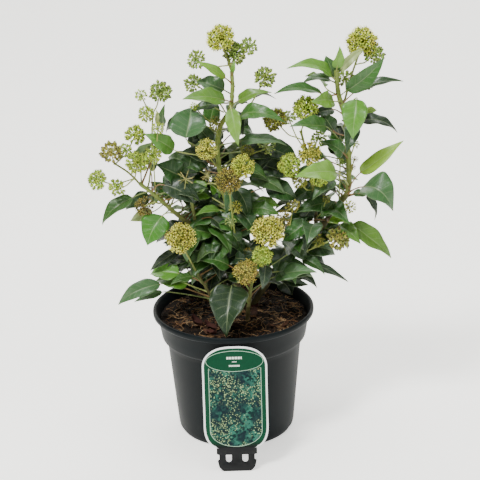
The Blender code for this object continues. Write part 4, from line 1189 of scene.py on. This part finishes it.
def make_mix(skin, bits_skin):
    mix = added(bpy.ops.mesh.primitive_grid_add, x_subdivisions=MIX_CELLS, y_subdivisions=MIX_CELLS, size=2)
    points = points_of(mix)
    x, y = points[:, 0].copy(), points[:, 1].copy()
    points[:, 0] = MIX_RADIUS * x * np.sqrt(1 - y ** 2 / 2)
    points[:, 1] = MIX_RADIUS * y * np.sqrt(1 - x ** 2 / 2)
    points[:, 2] = mix_height(points[:, 0], points[:, 1])
    move_points(mix, points)
    picked(mix, "edges", lambda edge: edge.is_boundary)
    bpy.ops.mesh.extrude_region_move()
    bpy.ops.transform.resize(value=(0.93, 0.93, 0), center_override=(0, 0, MIX_BOTTOM))
    bpy.ops.mesh.edge_face_add()
    turned_out()
    for scale, depth in ((0.006, 0.0030), (0.0022, 0.0016)):
        lumps = bpy.data.textures.new("peat_lumps", "CLOUDS")
        lumps.noise_scale = scale
        lumps.noise_depth = 2
        top = mix.vertex_groups.get("top") or mix.vertex_groups.new(name="top")
        height = points_of(mix)[:, 2]
        top.add([int(index) for index in np.nonzero(height > MIX_SURFACE)[0]], 1.0, "REPLACE")
        modified(mix, "DISPLACE", texture=lumps, strength=depth, mid_level=0.6, direction="Z",
                 texture_coords="LOCAL", vertex_group="top")
    mix.name = mix.data.name = "peat_surface"
    done(smoothed(skinned(mix, skin)), "potting_mix", "potting_mix")
    make_bits(bits_skin)


BIT_COLOURS = ((22, 18, 15), (34, 27, 21), (54, 42, 32), (15, 13, 11), (84, 68, 50))
FIBRE_COLOURS = ((150, 116, 80), (112, 80, 54), (78, 54, 36), (176, 146, 108))
DEAD_LEAF_COLOURS = ((62, 34, 28), (74, 50, 35), (46, 30, 22))
LUMPS, FIBRES, SCRAPS = 430, 560, 18
FRONT_SCRAPS = 7          # of the scraps, those in front on the left


def rotation(turn, tilt):
    """A turn about the upright and a tilt before it, as an array."""
    return np.array(Matrix.Rotation(turn, 3, "Z") @ Matrix.Rotation(tilt, 3, "X"))


def any_of(colours, draw, low, high):
    return np.array(linear(draw.choice(colours))) * draw.uniform(low, high)


def spot(draw, reach=0.95):
    radius = MIX_RADIUS * reach * math.sqrt(draw.random())
    angle = draw.random() * math.tau
    return radius * math.cos(angle), radius * math.sin(angle)


def make_bits(skin):
    """Lumps of bark and peat, loose fibres and dead leaf scraps that lie on the mix."""
    draw = random.Random(11)
    lump = added(bpy.ops.mesh.primitive_ico_sphere_add, subdivisions=2, radius=1)
    lump_points = points_of(lump)
    fibre = make_rod(4, 4)
    scrap = added(bpy.ops.mesh.primitive_grid_add, x_subdivisions=4, y_subdivisions=5, size=2)
    pieces = []
    for _lump in range(LUMPS):
        x, y = spot(draw)
        size = 0.0008 + 0.0030 * draw.random() ** 4
        stretch = np.array((draw.uniform(0.7, 1.6), draw.uniform(0.6, 1.2), draw.uniform(0.4, 0.9)))
        shift = draw.random() * 9
        rough = 1 + 0.22 * np.sin(lump_points @ np.array((5.1, 3.7, 4.4)) + shift)[:, None] \
            + 0.12 * np.sin(lump_points @ np.array((-9, 8, 11)) + shift * 3)[:, None]
        turn = rotation(draw.random() * 6, draw.uniform(-0.6, 0.6))
        piece = copied(lump)
        height = float(mix_height(x, y)) + size * 0.15
        move_points(piece, (lump_points * rough * stretch * size) @ turn.T + np.array((x, y, height)))
        pieces.append(tinted(piece, any_of(BIT_COLOURS, draw, 0.7, 1.3)))
    for _fibre in range(FIBRES):
        x, y = spot(draw, 0.92)
        angle, length = draw.random() * math.tau, draw.uniform(0.004, 0.017)
        bend = draw.uniform(-2.2, 2.2)
        path = []
        for t in np.linspace(-0.5, 0.5, 5):
            px = x + length * (t * math.cos(angle) - bend * t * t * math.sin(angle))
            py = y + length * (t * math.sin(angle) + bend * t * t * math.cos(angle))
            if math.hypot(px, py) > MIX_RADIUS * 0.97:
                px, py = px * 0.9, py * 0.9
            path.append((px, py, float(mix_height(px, py)) + 0.0016 + draw.uniform(-0.0004, 0.0022)))
        width = draw.uniform(0.00014, 0.00042)
        piece = lay_rod(fibre, path, lambda share, width=width: width * (1 - 0.5 * abs(share * 2 - 1)))
        pieces.append(tinted(piece, linear(draw.choice(FIBRE_COLOURS))))
    scrap_points = points_of(scrap)
    for index in range(SCRAPS):
        x, y = spot(draw, 0.85)
        if index < FRONT_SCRAPS:
            x, y = -0.028 + draw.uniform(-0.022, 0.028), -0.046 + draw.uniform(-0.014, 0.016)
        size = draw.uniform(0.004, 0.009)
        u, v = scrap_points[:, :1], scrap_points[:, 1:2]
        curl = draw.uniform(0.2, 0.7)
        shaped = size * np.concatenate([u * np.sqrt(np.maximum(1 - v ** 2, 0.02)) * 0.5, v,
                                        curl * (u ** 2 + 0.5 * v ** 2) + 0.12 * np.sin(v * 5 + u * 3)], axis=1)
        turn = rotation(draw.random() * 6.28, draw.uniform(-0.4, 0.4))
        spot_on_mix = np.array((x, y, float(mix_height(x, y)) + 0.0022))
        piece = move_points(copied(scrap), shaped @ turn.T + spot_on_mix)
        modified(piece, "SOLIDIFY", thickness=0.0004, offset=0)
        pieces.append(tinted(piece, any_of(DEAD_LEAF_COLOURS, draw, 0.7, 1.2)))
    removed(lump, fibre, scrap)
    done(smoothed(skinned(joined(pieces, "peat_bits"), skin), 40), "potting_mix")


# ---------------------------------------------------------------- label

LABEL_LENGTH = 0.142
LABEL_WIDTH = 0.071
LABEL_THICKNESS = 0.0009
LABEL_FOOT_WIDTH = 0.045
LABEL_FOOT_END_WIDTH = 0.034
LABEL_FOOT_LENGTH = 0.028
LABEL_SHOULDER = 0.022
LABEL_ARCH = 0.014
LABEL_CORNER = 0.008
LABEL_SLOT_X = 0.009
SLOT_HALF = 0.00325        # half-width of a slot
SLOT_MIDDLE = 0.0138       # height at which its round lower end begins
SLOT_TOP, SLOT_ROUND = 0.0052, 0.0033
LABEL_STANDOFF = 0.026
LABEL_GAP = 0.0003
PLATE_THICKNESS = 0.0006
PRINT_STEP = 0.00009          # each printed layer stands this much further out
BORDER = 0.0021
LINE = 0.00045
# the header's plain bars, which stand for lettering: middle height, height and width
BARS = ((0.1292, 0.0026, 0.0170), (0.1249, 0.0009, 0.0052), (0.1204, 0.0018, 0.0120))
HEADER = (0.1255, 0.0314, 0.0117)       # the header's middle height and its two half-sizes
PANEL = (0.0283, 0.118, 0.047, 0.0183)  # half-width, top, where the sides end, depth of the round end


def label_outline():
    """The label's outline in its own plane: X across, Y up from its foot."""
    half, foot, end = LABEL_WIDTH / 2, LABEL_FOOT_WIDTH / 2, LABEL_FOOT_END_WIDTH / 2
    side_top = LABEL_LENGTH - LABEL_ARCH
    right = [(end - 0.0025, 0), (end - 0.0008, 0.0008), (end + 0.003, 0.0050), (foot - 0.001, 0.0125),
             (foot - 0.003, 0.0137), (foot - 0.003, 0.0190), (foot - 0.0005, 0.0198), (foot, 0.0212),
             (foot, LABEL_FOOT_LENGTH)]
    for index in range(1, 11):
        angle = index / 10 * math.pi / 2
        right.append((foot + (half - foot) * math.sin(angle),
                      LABEL_FOOT_LENGTH + LABEL_SHOULDER * (1 - math.cos(angle))))
    right.append((half, side_top - LABEL_CORNER))
    for index in range(1, 18):
        angle = index / 18 * math.pi / 2
        right.append((half * math.cos(angle) ** 0.75,
                      side_top - LABEL_CORNER + (LABEL_ARCH + LABEL_CORNER) * math.sin(angle)))
    return right + [(0, LABEL_LENGTH)] + [(-x, y) for x, y in reversed(right)]


def oval(x, y, wide, high, steps=64):
    return [(x + wide * math.cos(math.tau * index / steps), y + high * math.sin(math.tau * index / steps))
            for index in range(steps)]


def panel_outline(grow):
    half, top, low, depth = PANEL
    half += grow
    arc = [(half * math.cos(math.pi * index / 32), low - (depth + grow) * math.sin(math.pi * index / 32))
           for index in range(33)]
    return arc + [(-half, top), (half, top)]


def field_outline():
    """The printed field: the label above its foot, drawn in by the width of the border."""
    half, foot = LABEL_WIDTH / 2 - BORDER, LABEL_FOOT_WIDTH / 2 - BORDER * 0.6
    side_top = LABEL_LENGTH - LABEL_ARCH - LABEL_CORNER
    right = [(foot, LABEL_FOOT_LENGTH - 0.001)]
    for index in range(1, 11):
        angle = index / 10 * math.pi / 2
        right.append((foot + (half - foot) * math.sin(angle),
                      LABEL_FOOT_LENGTH + BORDER * 0.5 + LABEL_SHOULDER * (1 - math.cos(angle))))
    for index in range(18):
        angle = index / 18 * math.pi / 2
        right.append((half * math.cos(angle) ** 0.75,
                      side_top + (LABEL_ARCH + LABEL_CORNER - BORDER) * math.sin(angle)))
    top = (0, LABEL_LENGTH - BORDER)
    return right + [top] + [(-x, y) for x, y in reversed(right)]


def plate(outline, low, high, skin):
    """A flat plate: a filled circle whose rim is laid on an outline, then extruded to its thickness."""
    piece = added(bpy.ops.mesh.primitive_circle_add, vertices=len(outline), radius=1, fill_type="NGON")
    move_points(piece, [(x, y, low) for x, y in outline])
    bpy.ops.object.mode_set(mode="EDIT")
    bpy.ops.mesh.select_all(action="SELECT")
    bpy.ops.mesh.extrude_region_move()
    bpy.ops.transform.translate(value=(0, 0, high - low))
    turned_out()
    return skinned(piece, skin)


def make_label(plate_skin, field_skin, picture_skin, line_skin, bar_skin):
    front = LABEL_THICKNESS / 2
    base = plate(label_outline(), front - PLATE_THICKNESS, front, plate_skin)
    cutters = []
    for side in (-1, 1):
        turns = [math.pi * (1 + step / 8) for step in range(9)]
        corners = [(1, SLOT_TOP), (-1, SLOT_TOP)] + [(math.cos(a), SLOT_ROUND * math.sin(a)) for a in turns]
        slot = [(side * LABEL_SLOT_X + x * SLOT_HALF, SLOT_MIDDLE + y) for x, y in corners]
        cutters.append(plate(slot, -0.002, 0.002, plate_skin))
    cut_by(base, joined(cutters, "slot_cutter"))
    modified(base, "BEVEL", width=0.00012, segments=2, limit_method="ANGLE")
    middle, wide, high = HEADER
    layers = [(field_outline(), field_skin), (panel_outline(LINE), line_skin),
              (panel_outline(0), picture_skin), (oval(0, middle, wide, high), line_skin),
              (oval(0, middle, wide - LINE, high - LINE), field_skin)]
    pieces = [base]
    for index, (outline, skin) in enumerate(layers):
        pieces.append(plate(outline, front - 0.00002, front + PRINT_STEP * (index + 1), skin))
    draw = random.Random(5)
    bar_top = front + PRINT_STEP * (len(layers) + 1)
    for y, height, width in BARS:
        x = -width / 2
        while x < width / 2:
            block = min(width * draw.uniform(0.11, 0.2), width / 2 - x)
            bar = [(x, y - height / 2), (x + block * 0.8, y - height / 2),
                   (x + block * 0.8, y + height / 2), (x, y + height / 2)]
            pieces.append(plate(bar, front, bar_top, bar_skin))
            x += block
    label = joined(pieces, "printed_label")
    lean = math.atan2(LABEL_STANDOFF - LABEL_THICKNESS - LABEL_GAP,
                      math.sqrt(LABEL_LENGTH ** 2 - LABEL_STANDOFF ** 2))
    label.data.transform(
        Matrix.Translation((0, -(RIM_RADIUS + LABEL_STANDOFF), LABEL_THICKNESS / 2 * math.sin(lean)))
        @ Matrix.Rotation(math.radians(90) - lean, 4, "X"))
    done(smoothed(label, 35), "label_plastic", "plant_label")


def label_plate_finish():
    """White plastic above the foot and charcoal below it."""
    finish = Finish("label_plate", Roughness=0.5, Specular_IOR_Level=0.2)
    height = finish.height()
    across = finish.node("ShaderNodeSeparateXYZ", {}, {0: finish.place()}, out=0)
    grain = finish.noise(700, 2)
    foot = height.step(0.0268, 0.0262) * across.size().step(0.0224, 0.0221)
    edge = height.step(0.0290, 0.0282) * across.size().step(0.0205, 0.0198)
    dark = finish.blend(grain, linear((7, 9, 10)), linear((13, 15, 17)))
    white = finish.blend(grain.step(0.4, 0.7), linear((240, 242, 240)), linear((228, 232, 230)))
    return finish.surface(Base_Color=finish.blend(foot.most(edge), white, dark),
                          Normal=finish.bump(grain, 0.04, 0.0002))


def label_field_finish():
    """Printed green, which deepens to charcoal where the foot begins."""
    finish = Finish("label_field", Roughness=0.45, Specular_IOR_Level=0.12)
    height = finish.height()
    grain = finish.noise(500, 3)
    green = finish.blend(grain, linear((0, 50, 32)), linear((0, 66, 40)))
    return finish.surface(Base_Color=finish.blend(height.step(0.036, 0.027), green, linear((14, 20, 18))),
                          Normal=finish.bump(grain, 0.03, 0.0002))


# ---------------------------------------------------------------- stage

FLOOR_SIZE = (3.0, 2.0, 1)
BACKDROP_RADIUS = 1.2
BACKDROP_STEPS = 12
PAPER_WHITE = (1, 0.995, 0.98, 1)
LIGHTS = (
    # name, place, size, power and the point it is aimed at
    ("key_light", (-0.9, -1.1, 2.3), 0.6, 84, (0, 0, 0.2)),
    ("fill_light", (1.9, -1.3, 1.5), 1.8, 18, (0, 0, 0.25)),
    ("top_light", (0.1, 0.3, 2.8), 1.4, 44, (0, 0, 0.2)),
    ("back_light", (0.4, 2.0, 1.9), 1.6, 16, (0, 0, 0.3)),
)
CAMERA_PLACE = (0.0098, -1.3631, 0.7404)
CAMERA_DROP, CAMERA_ROLL = 20.615, -1.58    # degrees
CAMERA_LENS = 96.85                         # mm


def make_stage():
    """A pale floor that curves up into a backdrop, and soft lights around the object."""
    bpy.ops.object.select_all(action="DESELECT")
    bpy.ops.mesh.primitive_plane_add(size=2)
    floor = bpy.context.object
    floor.scale = FLOOR_SIZE
    floor.location = (0, -0.4, -0.0002)
    floor = settled()
    picked(floor, "edges", lambda edge: all(vert.co.y > 1.5 for vert in edge.verts))
    for step in range(1, BACKDROP_STEPS + 1):
        angle = step / BACKDROP_STEPS * math.pi / 2
        before = (step - 1) / BACKDROP_STEPS * math.pi / 2
        bpy.ops.mesh.extrude_region_move()
        bpy.ops.transform.translate(value=(0, BACKDROP_RADIUS * (math.sin(angle) - math.sin(before)),
                                           BACKDROP_RADIUS * (math.cos(before) - math.cos(angle))))
    bpy.ops.mesh.extrude_region_move()
    bpy.ops.transform.translate(value=(0, 0, 3))
    bpy.ops.object.mode_set(mode="OBJECT")
    finish = Finish("studio_paper", Roughness=0.85, Emission_Color=PAPER_WHITE, Emission_Strength=1.0)
    haze = finish.noise(2.5, 2)
    finish.surface(Base_Color=finish.blend(haze, linear((250, 249, 243)), linear((244, 243, 236))))
    floor.name = "studio_floor"
    smoothed(skinned(floor, finish.material))
    for name, source, size, power, aim in LIGHTS:
        bpy.ops.object.select_all(action="DESELECT")
        bpy.ops.object.light_add(type="AREA", location=source)
        light = bpy.context.object
        light.name = name
        light.data.shape = "DISK"
        light.data.size = size
        light.data.energy = power
        light.rotation_euler = (Vector(aim) - Vector(source)).to_track_quat("-Z", "Y").to_euler()
    world = bpy.data.worlds.new("studio")
    bpy.context.scene.world = world
    world.use_nodes = True
    backdrop = world.node_tree.nodes["Background"].inputs
    backdrop["Color"].default_value = PAPER_WHITE
    backdrop["Strength"].default_value = 0.3


def make_camera():
    bpy.ops.object.select_all(action="DESELECT")
    bpy.ops.object.camera_add(location=CAMERA_PLACE)
    camera = bpy.context.object
    camera.name = "studio_camera"
    camera.rotation_euler = (Matrix.Rotation(math.radians(90 - CAMERA_DROP), 3, "X")
                             @ Matrix.Rotation(math.radians(CAMERA_ROLL), 3, "Z")).to_euler()
    camera.data.sensor_width = 36
    camera.data.lens = CAMERA_LENS
    camera.data.clip_start = 0.05
    camera.data.dof.use_dof = False
    bpy.context.scene.camera = camera


def main():
    skins = (leaf_finish("leaf_upper", False), leaf_finish("leaf_under", True), stalk_finish())
    paths = make_stems(bark_finish())
    make_leaves(skins, paths)
    make_flowers(floret_finish(), all_shoots(paths))
    make_pot(pot_finish())
    make_mix(peat_finish(), crumb_finish())
    make_label(label_plate_finish(), label_field_finish(), picture_finish(),
               print_finish("label_line", (178, 214, 186)), print_finish("label_bars", (222, 236, 222)))
    make_stage()
    make_camera()


main()
